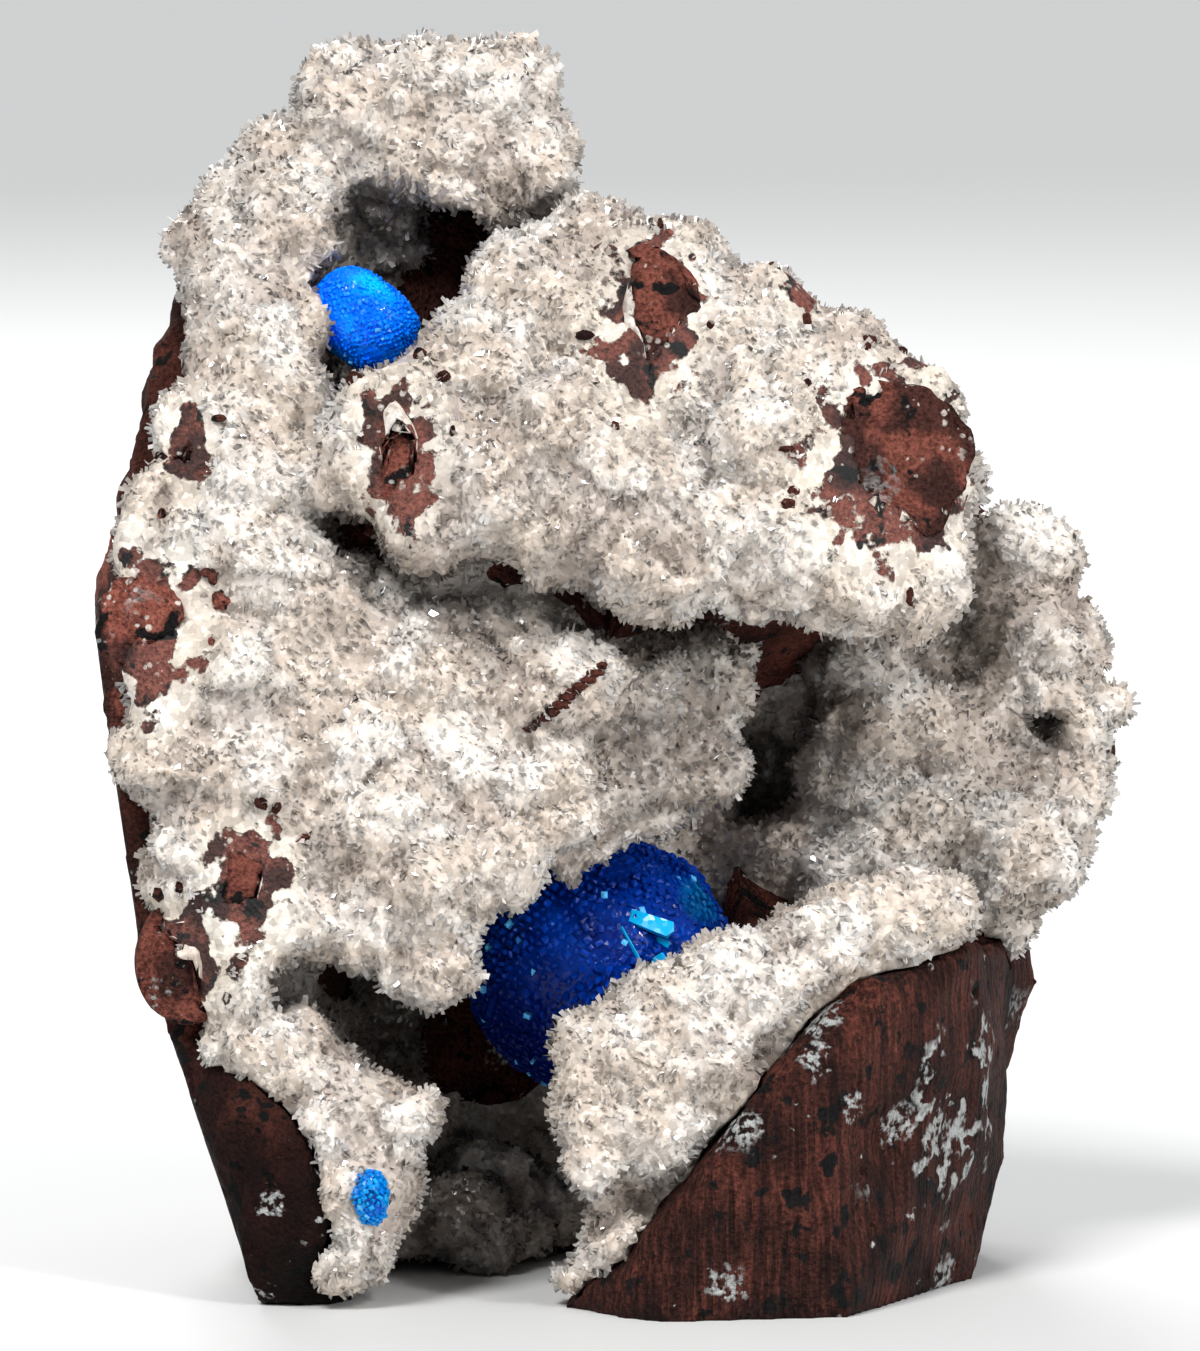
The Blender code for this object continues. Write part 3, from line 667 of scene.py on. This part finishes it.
def shape_crust(piece):
    mesh = piece.data
    points, normals = read_surface(mesh)
    inner = faces_node(points, normals, node_tree("basalt_matrix"), CRUST_BACK)
    sawn = sawn_share(points, normals)
    apart, level, middle = patch_distance(points)
    near = near_a_patch(points, normals, apart, level)
    knob = sum(rise * knob_height(points, size) for size, rise in KNOBS)
    furrow = 1 - knob / sum(rise for size, rise in KNOBS)
    stand = (1 - sawn) * np.maximum(knob - CRUST_SINK, -DEEPEST_FURROW)
    out = np.where(inner, CRUST_MEET, stand * (1 - near))
    grown = ~inner
    clear_way = np.ones(len(points))
    clear_way[grown] = openness(points[grown], normals[grown], node_tree("stilbite_crust"))
    points += normals * out[:, None]
    pinch = near * grown * HOLE_SHRINK * np.clip(HOLE_EDGE - apart, 0, 1)
    for axis in (0, 2):
        points[:, axis] += (middle[:, axis] - points[:, axis]) * pinch
    flat = level + HOLE_LUMPS[1] * billows(points, HOLE_LUMPS[0], 3)
    points[:, 1] += near * grown * (flat - points[:, 1]) * HOLE_FLATNESS
    points[:, 2] = np.maximum(points[:, 2], CRUST_FOOT)
    write_points(mesh, points)
    set_attribute(mesh, "sawn", sawn)
    set_attribute(mesh, "inner", inner)
    set_attribute(mesh, "furrow", furrow * (1 - sawn))
    # Painted shade for the hollows, from how open each point is and from the shaded zones.
    hollow_shade = np.clip((OPEN_ENOUGH - clear_way) / OPEN_FADE, 0, 1) * HOLLOW_SHADE_SHARE
    set_attribute(mesh, "hollow_shade", np.maximum(hollow_shade, ragged_share(points, SHADED_ZONES)))
    set_attribute(mesh, "veil", np.clip(0.5 + VEIL_STRENGTH * billows(points, VEIL_SIZE, 3), 0, 1))
    set_attribute(mesh, "patch", np.where(near > 0, apart, FAR_FROM_PATCH))
    mesh.update()
    thinned(piece, inner, CRUST_KEEP)
    piece.data.shade_smooth()


def shaded_stilbite(tree, pale):
    """The crust's colour, with painted shade in the furrows and the hollows."""
    furrow = ramp(tree, attribute(tree, "furrow"), *FURROW_RANGE)
    colour = blend(tree, attribute(tree, "veil"), pale, BEIGE_VEIL, "MULTIPLY")
    colour = blend(tree, furrow, colour, FURROW_SHADE_BROWN)
    return blend(tree, attribute(tree, "hollow_shade"), colour, HOLLOW_SHADE_BROWN)


def blend_values(tree, share, first, second):
    """Two values mixed by a share from 0 to 1."""
    node = shader_node(tree, "ShaderNodeMapRange", {"Value": share, "To Min": first, "To Max": second})
    return node.outputs[0]


def ground_material(name, chipped):
    """The ground's material, with basalt in its chipped places or with none."""
    made, tree, shader = new_material(name)
    height = effect(tree, FACETS, Size=0.32, Shift=1.0)["Height"]
    light = effect(tree, FACETS, Size=0.5, Shift=4.0)["Value"]
    colour = shaded_stilbite(tree, blend(tree, light, GROUND_PALE, GROUND_DULL))
    shader.inputs["Roughness"].default_value = GROUND_ROUGHNESS
    if chipped:
        apart = attribute(tree, "patch")
        colour = blend(tree, ramp(tree, apart, *RIM_RANGE, RIM_SHARE), colour, RIM_CREAM)
        edge = effect(tree, MOTTLE, Size=1.6, Detail=5.0, Shift=6.0)["Value"]
        inward = calculate(tree, "SUBTRACT", apart, CHIPPED_RAGGED / 2)
        ragged = calculate(tree, "MULTIPLY_ADD", edge, CHIPPED_RAGGED, inward)
        bare = ramp(tree, ragged, PATCH_EDGE + CHIPPED_FADE, PATCH_EDGE - CHIPPED_FADE)
        rock = effect(tree, BASALT_TONE, Red=CHIPPED_RED)
        colour = blend(tree, bare, colour, rock["Color"])
        height = blend_values(tree, bare, height, rock["Height"])
        rough = calculate(tree, "MULTIPLY_ADD", bare, CHIPPED_ROUGHER, GROUND_ROUGHNESS)
        tree.links.new(rough, shader.inputs["Roughness"])
    tree.links.new(colour, shader.inputs["Base Color"])
    add_relief(tree, shader, height)
    return made


def mark_chipped_faces(mesh):
    """The second material where a face lies by a patch of bare basalt."""
    patch = read_array(mesh.attributes["patch"].data, "value", 1)[:, 0]
    for face in mesh.polygons:
        face.material_index = int(min(patch[index] for index in face.vertices) < CHIPPED_REACH)


ground = evened_skin("stilbite_crust", "stilbite_ground", CRUST_VOXEL)
shape_crust(ground)
ground.data.materials.append(ground_material("stilbite_ground", False))
ground.data.materials.append(ground_material("stilbite_ground_chipped", True))
mark_chipped_faces(ground.data)
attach(ground, "root")
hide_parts("stilbite_crust")

# Stilbite blades
# The druse itself: thin, clear to milky blades of stilbite that stand 0.1 to 0.5 mm out of the knobs
# of the ground and fan out from them. They grew wherever the ground is neither sawn nor chipped off.
BLADE_COUNT = 66000
BLADE_TRIES = 3
BLADE_SEED = 4
BLADE_LENGTH = (0.12, 0.48)
BLADE_LENGTH_POWER = 1.6
BLADE_WIDTH = (0.10, 0.36)
BLADE_WIDTH_POWER = 1.3
BLADE_SLIMMEST = 0.6
BLADE_FLATNESS = (0.25, 0.5)
BLADE_ROOT = 0.2
BLADE_STRAY = 0.36
BLADE_LOWEST = 0.4
BLADE_EDGE = (1.5, 0.5)
BLADE_EDGE_GAP = 0.2
OFF_FACE = 0.3
FAN_DEPTH = 1.0
FAN_UPRIGHT = 0.4
FAN_FLATTEST = 0.25
WEDGE_FOOT = 0.4
WEDGE_REACH = (0.8, 1)
WEDGE_TOP = (0.3, 0.55)
BLADE_ZONES = [
    "stilbite_blades_low", "stilbite_blades_middle", "stilbite_blades_upper", "stilbite_blades_high",
]
BLADE_CLEAR = (0.85, 0.82, 0.79, 1)
BLADE_MILKY = (0.74, 0.705, 0.665, 1)
BLADE_SOFTNESS = 0.65
BLADE_GLINTS = (0.95, 0.93)
BLADE_ROUGHNESS = 0.04
BLADE_ROUGHER = 0.18
BLADE_CLARITY = 0.3
STILBITE_IOR = 1.5


def unit(rows):
    return rows / np.maximum(np.linalg.norm(rows, axis=1, keepdims=True), 1e-9)


def scatter(mesh, count, rng):
    """Points spread evenly over a mesh, with the normals and the mesh's own attributes there."""
    mesh.calc_loop_triangles()
    corners = read_array(mesh.loop_triangles, "vertices", 3).astype(int)
    points, normals = read_surface(mesh)
    a, b, c = (points[corners[:, k]] for k in range(3))
    area = np.linalg.norm(np.cross(b - a, c - a), axis=1)
    chosen = np.searchsorted(np.cumsum(area) / area.sum(), rng.random(count))
    chosen = np.minimum(chosen, len(corners) - 1)
    u, v = rng.random(count), rng.random(count)
    over = u + v > 1
    u[over], v[over] = 1 - u[over], 1 - v[over]
    share = np.stack([1 - u - v, u, v], 1)[:, :, None]
    own = corners[chosen]
    layers = {}
    for name in ("sawn", "inner", "furrow", "hollow_shade", "veil", "patch"):
        values = read_array(mesh.attributes[name].data, "value", 1)[:, 0]
        layers[name] = (values[own] * share[:, :, 0]).sum(1)
    return (points[own] * share).sum(1), unit((normals[own] * share).sum(1)), layers


def crystal_mesh(name, corners, faces, rng):
    """One mesh of many separate crystals that all have the same faces."""
    count, width = corners.shape[:2]
    loops = ((np.arange(count) * width)[:, None] + [corner for face in faces for corner in face]).ravel()
    sizes = np.tile([len(face) for face in faces], count)
    mesh = bpy.data.meshes.new(name)
    mesh.vertices.add(count * width)
    mesh.vertices.foreach_set("co", (corners.reshape(-1) * MM).astype(np.float32))
    mesh.loops.add(len(loops))
    mesh.loops.foreach_set("vertex_index", loops.astype(np.int32))
    mesh.polygons.add(len(sizes))
    mesh.polygons.foreach_set("loop_start", np.concatenate([[0], np.cumsum(sizes)[:-1]]).astype(np.int32))
    mesh.update(calc_edges=True)
    mesh.validate()
    mesh.shade_flat()
    set_attribute(mesh, "vary", np.repeat(rng.random(count), width))
    return mesh


def crystal_sides(ways, rng):
    """For each crystal, two directions across it, and the signs of its four corners along them."""
    side = unit(np.cross(ways, rng.normal(size=ways.shape)))
    return side, np.cross(ways, side), [(-1, -1), (1, -1), (1, 1), (-1, 1)]


def wedge_mesh(name, roots, ways, lengths, widths, flats, rng):
    """Separate thin crystals that end in a slanting edge, like a chisel."""
    side, flat, signs = crystal_sides(ways, rng)
    corners = np.empty((len(roots), 6, 3))
    for k, (s, f) in enumerate(signs):
        aside = side * (s * widths * WEDGE_FOOT)[:, None]
        corners[:, k] = roots + aside + flat * (f * widths * flats / 2)[:, None]
    for k, s in ((4, -1), (5, 1)):
        reach = lengths * rng.uniform(*WEDGE_REACH, len(roots))
        aside = s * widths * rng.uniform(*WEDGE_TOP, len(roots))
        corners[:, k] = roots + ways * reach[:, None] + side * aside[:, None]
    faces = [(0, 1, 5, 4), (2, 3, 4, 5), (3, 2, 1, 0), (1, 2, 5), (3, 0, 4)]
    return crystal_mesh(name, corners, faces, rng)


def fan_ways(points, normals, rng):
    """Directions that fan out from a place under the middle of each small knob."""
    size = KNOBS[1][0]
    middles = np.array([noise.voronoi(Vector(point) / size)[1][0] for point in points]) * size
    fan = unit(points - (middles - normals * FAN_DEPTH))
    fan = np.where(((fan * normals).sum(1) > FAN_FLATTEST)[:, None], fan, normals)
    return unit(fan + normals * FAN_UPRIGHT + rng.normal(size=points.shape) * BLADE_STRAY)


def blade_material():
    """Most blades are shaded by the way the crust faces, and a few glint with their own facets."""
    made, tree, shader = new_material("stilbite_blade")
    vary = attribute(tree, "vary")
    # The blades carry the ground's painted shade in its furrows and hollows.
    colour = shaded_stilbite(tree, blend(tree, vary, BLADE_MILKY, BLADE_CLEAR))
    tree.links.new(colour, shader.inputs["Base Color"])
    rough = calculate(tree, "MULTIPLY_ADD", vary, BLADE_ROUGHER, BLADE_ROUGHNESS)
    tree.links.new(rough, shader.inputs["Roughness"])
    carried = shader_node(tree, "ShaderNodeAttribute", attribute_name="crust_way").outputs["Vector"]
    crust_way = shader_node(tree, "ShaderNodeVectorTransform", {"Vector": carried}, vector_type="NORMAL",
                            convert_from="OBJECT", convert_to="WORLD").outputs[0]
    facet = shader_node(tree, "ShaderNodeNewGeometry").outputs["Normal"]
    dull = ramp(tree, vary, *BLADE_GLINTS, BLADE_SOFTNESS)
    sharp = calculate(tree, "SUBTRACT", 1.0, dull)
    own = shader_node(tree, "ShaderNodeVectorMath", {0: facet, "Scale": sharp}, operation="SCALE")
    soft = calculate_vector(tree, "MULTIPLY_ADD", crust_way, dull, own.outputs[0])
    tree.links.new(calculate_vector(tree, "NORMALIZE", soft), shader.inputs["Normal"])
    shader.inputs["IOR"].default_value = STILBITE_IOR
    shader.inputs["Transmission Weight"].default_value = BLADE_CLARITY
    return made


rng = np.random.default_rng(BLADE_SEED)
points, normals, layers = scatter(ground.data, BLADE_COUNT * BLADE_TRIES, rng)
bare = layers["patch"] + BLADE_EDGE[1] * billows(points, BLADE_EDGE[0], 3) < PATCH_EDGE + BLADE_EDGE_GAP
grown = (layers["inner"] < OFF_FACE) & (layers["sawn"] < OFF_FACE) & (points[:, 2] > BLADE_LOWEST) & ~bare
grown = np.flatnonzero(grown)[:BLADE_COUNT]
points, normals = points[grown], normals[grown]
layers = {name: values[grown] for name, values in layers.items()}
ways = fan_ways(points, normals, rng)
size = rng.random(len(points))
lengths = BLADE_LENGTH[0] + (BLADE_LENGTH[1] - BLADE_LENGTH[0]) * size ** BLADE_LENGTH_POWER
wider = (BLADE_WIDTH[1] - BLADE_WIDTH[0]) * size ** BLADE_WIDTH_POWER
widths = BLADE_WIDTH[0] + wider * rng.uniform(BLADE_SLIMMEST, 1, len(points))
flats = rng.uniform(*BLADE_FLATNESS, len(points))
clear_stilbite = blade_material()
zone_tops = np.quantile(points[:, 2], np.linspace(0, 1, len(BLADE_ZONES) + 1)[1:-1])
zones = np.searchsorted(zone_tops, points[:, 2])
for index, name in enumerate(BLADE_ZONES):
    here = zones == index
    roots = points[here] - ways[here] * BLADE_ROOT
    mesh = wedge_mesh(name, roots, ways[here], lengths[here] + BLADE_ROOT, widths[here], flats[here], rng)
    corner_count = len(mesh.vertices) // len(roots)
    for layer in ("furrow", "hollow_shade", "veil"):
        set_attribute(mesh, layer, np.repeat(layers[layer][here], corner_count))
    crust_way = mesh.attributes.new("crust_way", "FLOAT_VECTOR", "POINT")
    facing = np.repeat(normals[here], corner_count, 0).astype(np.float32)
    crust_way.data.foreach_set("vector", facing.ravel())
    blades = new_object(name, mesh)
    blades.data.materials.append(clear_stilbite)
    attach(blades, "root")

# Basalt crumbs
# Broken crumbs and one thin ledge of dark basalt stand out of the crust, where it grew round them or
# has chipped away.
CRUMB_COUNT = 34
CRUMB_HALF = (0.16, 0.5)
CRUMB_SEED = 8
CRUMB_ROUGHNESS = 0.45
CRUMB_LUMPS = 1.7
CRUMB_RING = (PATCH_EDGE + 0.25, 2.1)
LEDGE_START = (-0.5, 31.6)
LEDGE_END = (-3.9, 28.5)
LEDGE_CRUMBS = 11
LEDGE_HALF_LENGTH = (0.3, 0.5)
LEDGE_HALF_DEPTH = 0.4
LEDGE_HALF_HEIGHT = (0.16, 0.36)
LEDGE_SINK = 0.1


def crumb_mesh(name, places, halves):
    """Rough lumps half sunk in what lies behind them."""
    bm = bmesh.new()
    for place, half in zip(places, halves):
        start = len(bm.verts)
        bmesh.ops.create_icosphere(bm, subdivisions=2, radius=1)
        bm.verts.ensure_lookup_table()
        for vert in bm.verts[start:]:
            rough = 1 + CRUMB_ROUGHNESS * noise.noise(vert.co * CRUMB_LUMPS + Vector(place) * 3)
            vert.co = (Vector(place) + Vector(vert.co[k] * half[k] * rough for k in range(3))) * MM
    mesh = bpy.data.meshes.new(name)
    bm.to_mesh(mesh)
    bm.free()
    return mesh


rng = np.random.default_rng(CRUMB_SEED)
ring = np.flatnonzero((layers["patch"] > CRUMB_RING[0]) & (layers["patch"] < CRUMB_RING[1]))
places = list(points[rng.choice(ring, CRUMB_COUNT, replace=False)])
halves = [rng.uniform(*CRUMB_HALF, 3) for _ in places]
ground_tree = ray_tree(ground.data)
for share in np.linspace(0, 1, LEDGE_CRUMBS):
    x, z = (1 - share) * np.array(LEDGE_START) + share * np.array(LEDGE_END)
    hit = ground_tree.ray_cast(Vector((x, RAY_START, z)) * MM, Vector((0, 1, 0)))[0] / MM
    places.append(np.array(hit) + (0, LEDGE_SINK, 0))
    half_length = rng.uniform(*LEDGE_HALF_LENGTH)
    halves.append(np.array([half_length, LEDGE_HALF_DEPTH, rng.uniform(*LEDGE_HALF_HEIGHT)]))
crumbs = new_object("basalt_crumbs", crumb_mesh("basalt_crumbs", places, halves))
crumbs.data.materials.append(basalt.data.materials[0])
set_attribute(crumbs.data, "patch", np.full(len(crumbs.data.vertices), FAR_FROM_PATCH))
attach(crumbs, "root")

# Cavansite ball
# The largest cavansite is a ball of deep blue prisms grown out from one point, whose outer ends make
# a glassy, knobbly skin. A few lighter blades stand out of it at the right.
BALL_CENTRE = Vector((-0.556, -1.906, 15.5))
BALL_BLUE = (0.0, 0.055, 0.46, 1)
BALL_INK_AND_SHADOW = (0.0, 0.007, 0.11, 1)
BALL_HIGHLIGHT_TEAL = (0.0, 0.15, 0.42, 1)
BALL_CYAN = (0.0, 0.50, 0.95, 1)
# A painted highlight turns the ball teal at its upper right, and painted shadow darkens its lower left
# almost to black.
BALL_LIGHT_AND_SHADE = [((5.3, -4.6, 19.8), 2.2, BALL_HIGHLIGHT_TEAL), ((-4.8, -6.4, 10.2), 7.5, BALL_INK_AND_SHADOW)]
GLINT_BLUE = (0.10, 0.50, 0.95, 1)
GLINT_RANGE = (0.97, 0.98)
CRYSTAL_TONE = 0.4
CLOUD_TONE = 0.6
SPOT_RAGGED = 2.0
SPOT_SOFTNESS = 0.6
PRISM_FOOT = 0.8
PRISM_SLANT = 0.3
PRISM_ROUGHNESS = 0.12
PRISM_ROUGHER = 0.3
PRISM_RELIEF = 0.3
PRISM_GLOSS = 0.14
CAVANSITE_IOR = 1.55
SPREAD_STRAY = 0.35
SHEAF_STRAY = 0.3
OWN_WAY = 0.55
SHEAF_WAY = 0.45
PRISM_ROOT = 0.35
PRISM_SHORTEST = 0.6
PRISM_FLATNESS = (0.5, 0.9)
PRISM_POINTS = (0.05, 0.25)
HEART_LUMPS = 2.5
HEART_SWELL = 0.05
LOOSE_BLADES = [
    ((0.9, -7.2, 18.7), (3.1, -8.1, 18.0), 0.85), ((0.5, -7.8, 18.2), (1.8, -8.4, 15.9), 0.22),
    ((1.6, -7.5, 16.1), (2.7, -8.3, 16.8), 0.5), ((2.2, -7.3, 17.6), (2.9, -8.0, 17.3), 0.3),
]
LOOSE_FLATNESS = 0.35
LOOSE_POINT = 0.08
LOOSE_SEED = 3


def prism_mesh(name, roots, ways, lengths, widths, flats, tips, rng):
    """Separate four-sided crystals, each with a slanting point."""
    side, flat, signs = crystal_sides(ways, rng)
    corners = np.empty((len(roots), 9, 3))
    shoulder = lengths * (1 - tips)
    for k, (s, f) in enumerate(signs):
        across = side * (s * widths / 2)[:, None] + flat * (f * widths * flats / 2)[:, None]
        corners[:, k] = roots + across * PRISM_FOOT
        corners[:, k + 4] = roots + ways * shoulder[:, None] + across
    slant = rng.uniform(-PRISM_SLANT, PRISM_SLANT, len(roots)) * widths
    corners[:, 8] = roots + ways * lengths[:, None] + side * slant[:, None]
    faces = [(0, 1, 5, 4), (1, 2, 6, 5), (2, 3, 7, 6), (3, 0, 4, 7), (3, 2, 1, 0),
             (4, 5, 8), (5, 6, 8), (6, 7, 8), (7, 4, 8)]
    return crystal_mesh(name, corners, faces, rng)


def ball_points(count):
    """Points spread evenly over a ball of radius 1."""
    step = np.arange(count) + 0.5
    height = 1 - 2 * step / count
    turn = np.pi * (1 + 5 ** 0.5) * step
    ring = np.sqrt(1 - height ** 2)
    return np.stack([ring * np.cos(turn), ring * np.sin(turn), height], 1)


def cavansite_material(name, dark, light, clear, spot_tints=()):
    made, tree, shader = new_material(name)
    vary = attribute(tree, "vary")
    cloud = mottle(tree, size=1.8, detail=4.0, level=0.5, softness=0.2)
    clouded = calculate(tree, "MULTIPLY", cloud, CLOUD_TONE)
    colour = blend(tree, calculate(tree, "MULTIPLY_ADD", vary, CRYSTAL_TONE, clouded), dark, light)
    # Spots of other colours; on the ball these are a painted highlight and a painted shadow.
    for centre, radius, tint in spot_tints:
        mask = ragged_spot(tree, centre, radius, SPOT_RAGGED, radius * SPOT_SOFTNESS)
        colour = blend(tree, mask, colour, tint)
    colour = blend(tree, ramp(tree, vary, *GLINT_RANGE), colour, GLINT_BLUE)
    tree.links.new(colour, shader.inputs["Base Color"])
    rough = calculate(tree, "MULTIPLY_ADD", vary, PRISM_ROUGHER, PRISM_ROUGHNESS)
    tree.links.new(rough, shader.inputs["Roughness"])
    add_relief(tree, shader, effect(tree, FACETS, Size=0.3, Shift=8.0)["Height"], PRISM_RELIEF)
    shader.inputs["IOR"].default_value = CAVANSITE_IOR
    shader.inputs["Specular IOR Level"].default_value = PRISM_GLOSS
    shader.inputs["Transmission Weight"].default_value = clear
    return made


def cluster_mesh(name, centre, half, tilt, square, heart, fineness, count, sheaves, length, width, seed):
    """A heart with sheaves of prisms all round it. A higher square is a boxier form."""
    rng = np.random.default_rng(seed)
    turn = np.array(Matrix.Rotation(radians(tilt), 3, "Y"))

    def on_form(ways):
        reach = (np.abs(ways) ** square).sum(1) ** (-1 / square)
        return (ways * reach[:, None] * half) @ turn.T + np.array(centre)

    spread = unit(ball_points(count) + rng.normal(size=(count, 3)) * SPREAD_STRAY / np.sqrt(count))
    heads = unit(rng.normal(size=(sheaves, 3)))
    sheaf = (spread @ heads.T).argmax(1)
    lean = unit(heads + rng.normal(size=heads.shape) * SHEAF_STRAY)[sheaf]
    ways = unit(unit(spread * OWN_WAY + lean * SHEAF_WAY) / half) @ turn.T
    foot = on_form(spread * heart) - ways * PRISM_ROOT
    stand = rng.uniform(*length, sheaves)[sheaf] * rng.uniform(PRISM_SHORTEST, 1.0, count)
    mesh = prism_mesh(name, foot, ways, stand + PRISM_ROOT, rng.uniform(*width, count),
                      rng.uniform(*PRISM_FLATNESS, count), rng.uniform(*PRISM_POINTS, count), rng)
    bm = bmesh.new()
    bm.from_mesh(mesh)
    before = len(bm.verts)
    bmesh.ops.create_icosphere(bm, subdivisions=fineness, radius=1)
    bm.verts.ensure_lookup_table()
    core = list(bm.verts)[before:]
    ways = np.array([vert.co for vert in core])
    lumps = [noise.fractal(Vector(way) * HEART_LUMPS, BILLOW_FALL, BILLOW_STEP, 3) for way in ways]
    swell = 1 + HEART_SWELL * np.array(lumps)
    for vert, place in zip(core, on_form(ways * heart * swell[:, None])):
        vert.co = Vector(place) * MM
    bm.to_mesh(mesh)
    bm.free()
    return mesh


def add_loose_blades(mesh):
    """The single blades, joined to the ball as its second material."""
    feet, tops, widths = (np.array(values, float) for values in zip(*LOOSE_BLADES))
    reach = np.linalg.norm(tops - feet, axis=1)
    flats = np.full(len(reach), LOOSE_FLATNESS)
    tips = np.full(len(reach), LOOSE_POINT)
    loose = prism_mesh("loose", feet, unit(tops - feet), reach, widths, flats, tips,
                       np.random.default_rng(LOOSE_SEED))
    bm = bmesh.new()
    bm.from_mesh(mesh)
    own_faces = len(bm.faces)
    bm.from_mesh(loose)
    bm.faces.ensure_lookup_table()
    for face in bm.faces[own_faces:]:
        face.material_index = 1
    bm.to_mesh(mesh)
    bm.free()


ball = new_object("cavansite_ball", cluster_mesh(
    "cavansite_ball", BALL_CENTRE, half=(6.5, 6.5, 6.5), tilt=0, square=2, heart=0.94, fineness=5,
    count=2600, sheaves=170, length=(0.06, 0.5), width=(0.2, 0.46), seed=21))
add_loose_blades(ball.data)
ball.data.materials.append(cavansite_material("cavansite_deep_blue", BALL_INK_AND_SHADOW, BALL_BLUE, 0.0, BALL_LIGHT_AND_SHADE))
ball.data.materials.append(cavansite_material("cavansite_blade_cyan", BALL_CYAN, BALL_CYAN, 0.3))
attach(ball, "root")
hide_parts("cavansite_ball_main")

# Upper cavansite cluster
# A smaller, bright azure cluster sits in the cleft at the upper left. Its prisms are finer, so that
# its skin looks sugary and catches many small lights.
UPPER_CENTRE = Vector((-12.356, -3.406, 48.0))
AZURE = (0.0, 0.30, 0.98, 1)
AZURE_DEEP = (0.0, 0.11, 0.92, 1)
AZURE_PALE = (0.0, 0.48, 0.98, 1)
UPPER_STAINS = [((-11.3, -5.0, 50.4), 1.7, AZURE_PALE), ((-13.6, -5.2, 47.2), 1.2, AZURE_DEEP)]

upper = new_object("cavansite_upper", cluster_mesh(
    "cavansite_upper", UPPER_CENTRE, half=(2.75, 2.1, 2.1), tilt=38, square=2.8, heart=0.95, fineness=4,
    count=1300, sheaves=90, length=(0.03, 0.22), width=(0.12, 0.3), seed=5))
upper.data.materials.append(cavansite_material("cavansite_azure", AZURE_DEEP, AZURE, 0.05, UPPER_STAINS))
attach(upper, "root")
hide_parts("cavansite_cluster_upper")

# Lower cavansite tuft
# A tuft of short cyan-blue blades, about 2.5 mm tall. It grew out of the crust of the left foot, and
# its blades are coarse for its size.
TUFT_CENTRE = Vector((-11.756, -15.506, 5.8))
CYAN = (0.0, 0.52, 0.95, 1)
TUFT_BLUE = (0.0, 0.07, 0.60, 1)

tuft = new_object("cavansite_tuft", cluster_mesh(
    "cavansite_tuft", TUFT_CENTRE, half=(0.75, 0.65, 1.25), tilt=0, square=2, heart=0.75, fineness=3,
    count=150, sheaves=26, length=(0.08, 0.45), width=(0.14, 0.34), seed=9))
tuft.data.materials.append(cavansite_material("cavansite_cyan", TUFT_BLUE, CYAN, 0.25))
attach(tuft, "root")
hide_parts("cavansite_tuft_lower")

# Floor and studio light
# A plain pale floor under a pale sky. The main light is a soft sun from the high front left. Weak
# lamps stand at the right, at the upper right to wake the crystals' glints, and behind.
FLOOR_SIZE = 12000.0
FLOOR_GREY = (0.64, 0.64, 0.63, 1)
FLOOR_ROUGHNESS = 0.6
KEY_WAY = Vector((0.45, 0.9, -1.15))
KEY_STRENGTH = 2.9
KEY_ANGLE = radians(18)
LAMPS = [
    ("fill", (480, -420, 180), 420, 2.6),
    ("glint", (260, -360, 420), 40, 1.0),
    ("back", (-120, 520, 420), 300, 2.4),
]
LAMP_TARGET = (0, 0, 30)
SKY_COLOUR = (0.75, 0.78, 0.82, 1)
SKY_STRENGTH = 0.45


def aim(lamp, way):
    lamp.rotation_mode = "QUATERNION"
    lamp.rotation_quaternion = way.to_track_quat("-Z", "Y")


floor_mesh = bpy.data.meshes.new("floor")
half = FLOOR_SIZE / 2 * MM
floor_corners = [(-half, -half, 0), (half, -half, 0), (half, half, 0), (-half, half, 0)]
floor_mesh.from_pydata(floor_corners, [], [(0, 1, 2, 3)])
floor = new_object("floor", floor_mesh)
floor_paint, _, floor_shader = new_material("floor_paint")
floor_shader.inputs["Base Color"].default_value = FLOOR_GREY
floor_shader.inputs["Roughness"].default_value = FLOOR_ROUGHNESS
floor.data.materials.append(floor_paint)

for name, place, size, power in LAMPS:
    light = bpy.data.lights.new(name, "AREA")
    light.size = size * MM
    light.energy = power
    lamp = new_object(name, light)
    lamp.location = Vector(place) * MM
    aim(lamp, Vector(LAMP_TARGET) - Vector(place))

sun = bpy.data.lights.new("key", "SUN")
sun.energy = KEY_STRENGTH
sun.angle = KEY_ANGLE
aim(new_object("key", sun), KEY_WAY)

world = bpy.data.worlds.new("studio")
world.use_nodes = True
world.node_tree.nodes["Background"].inputs["Color"].default_value = SKY_COLOUR
world.node_tree.nodes["Background"].inputs["Strength"].default_value = SKY_STRENGTH
bpy.context.scene.world = world
bpy.context.scene.view_settings.view_transform = "Standard"
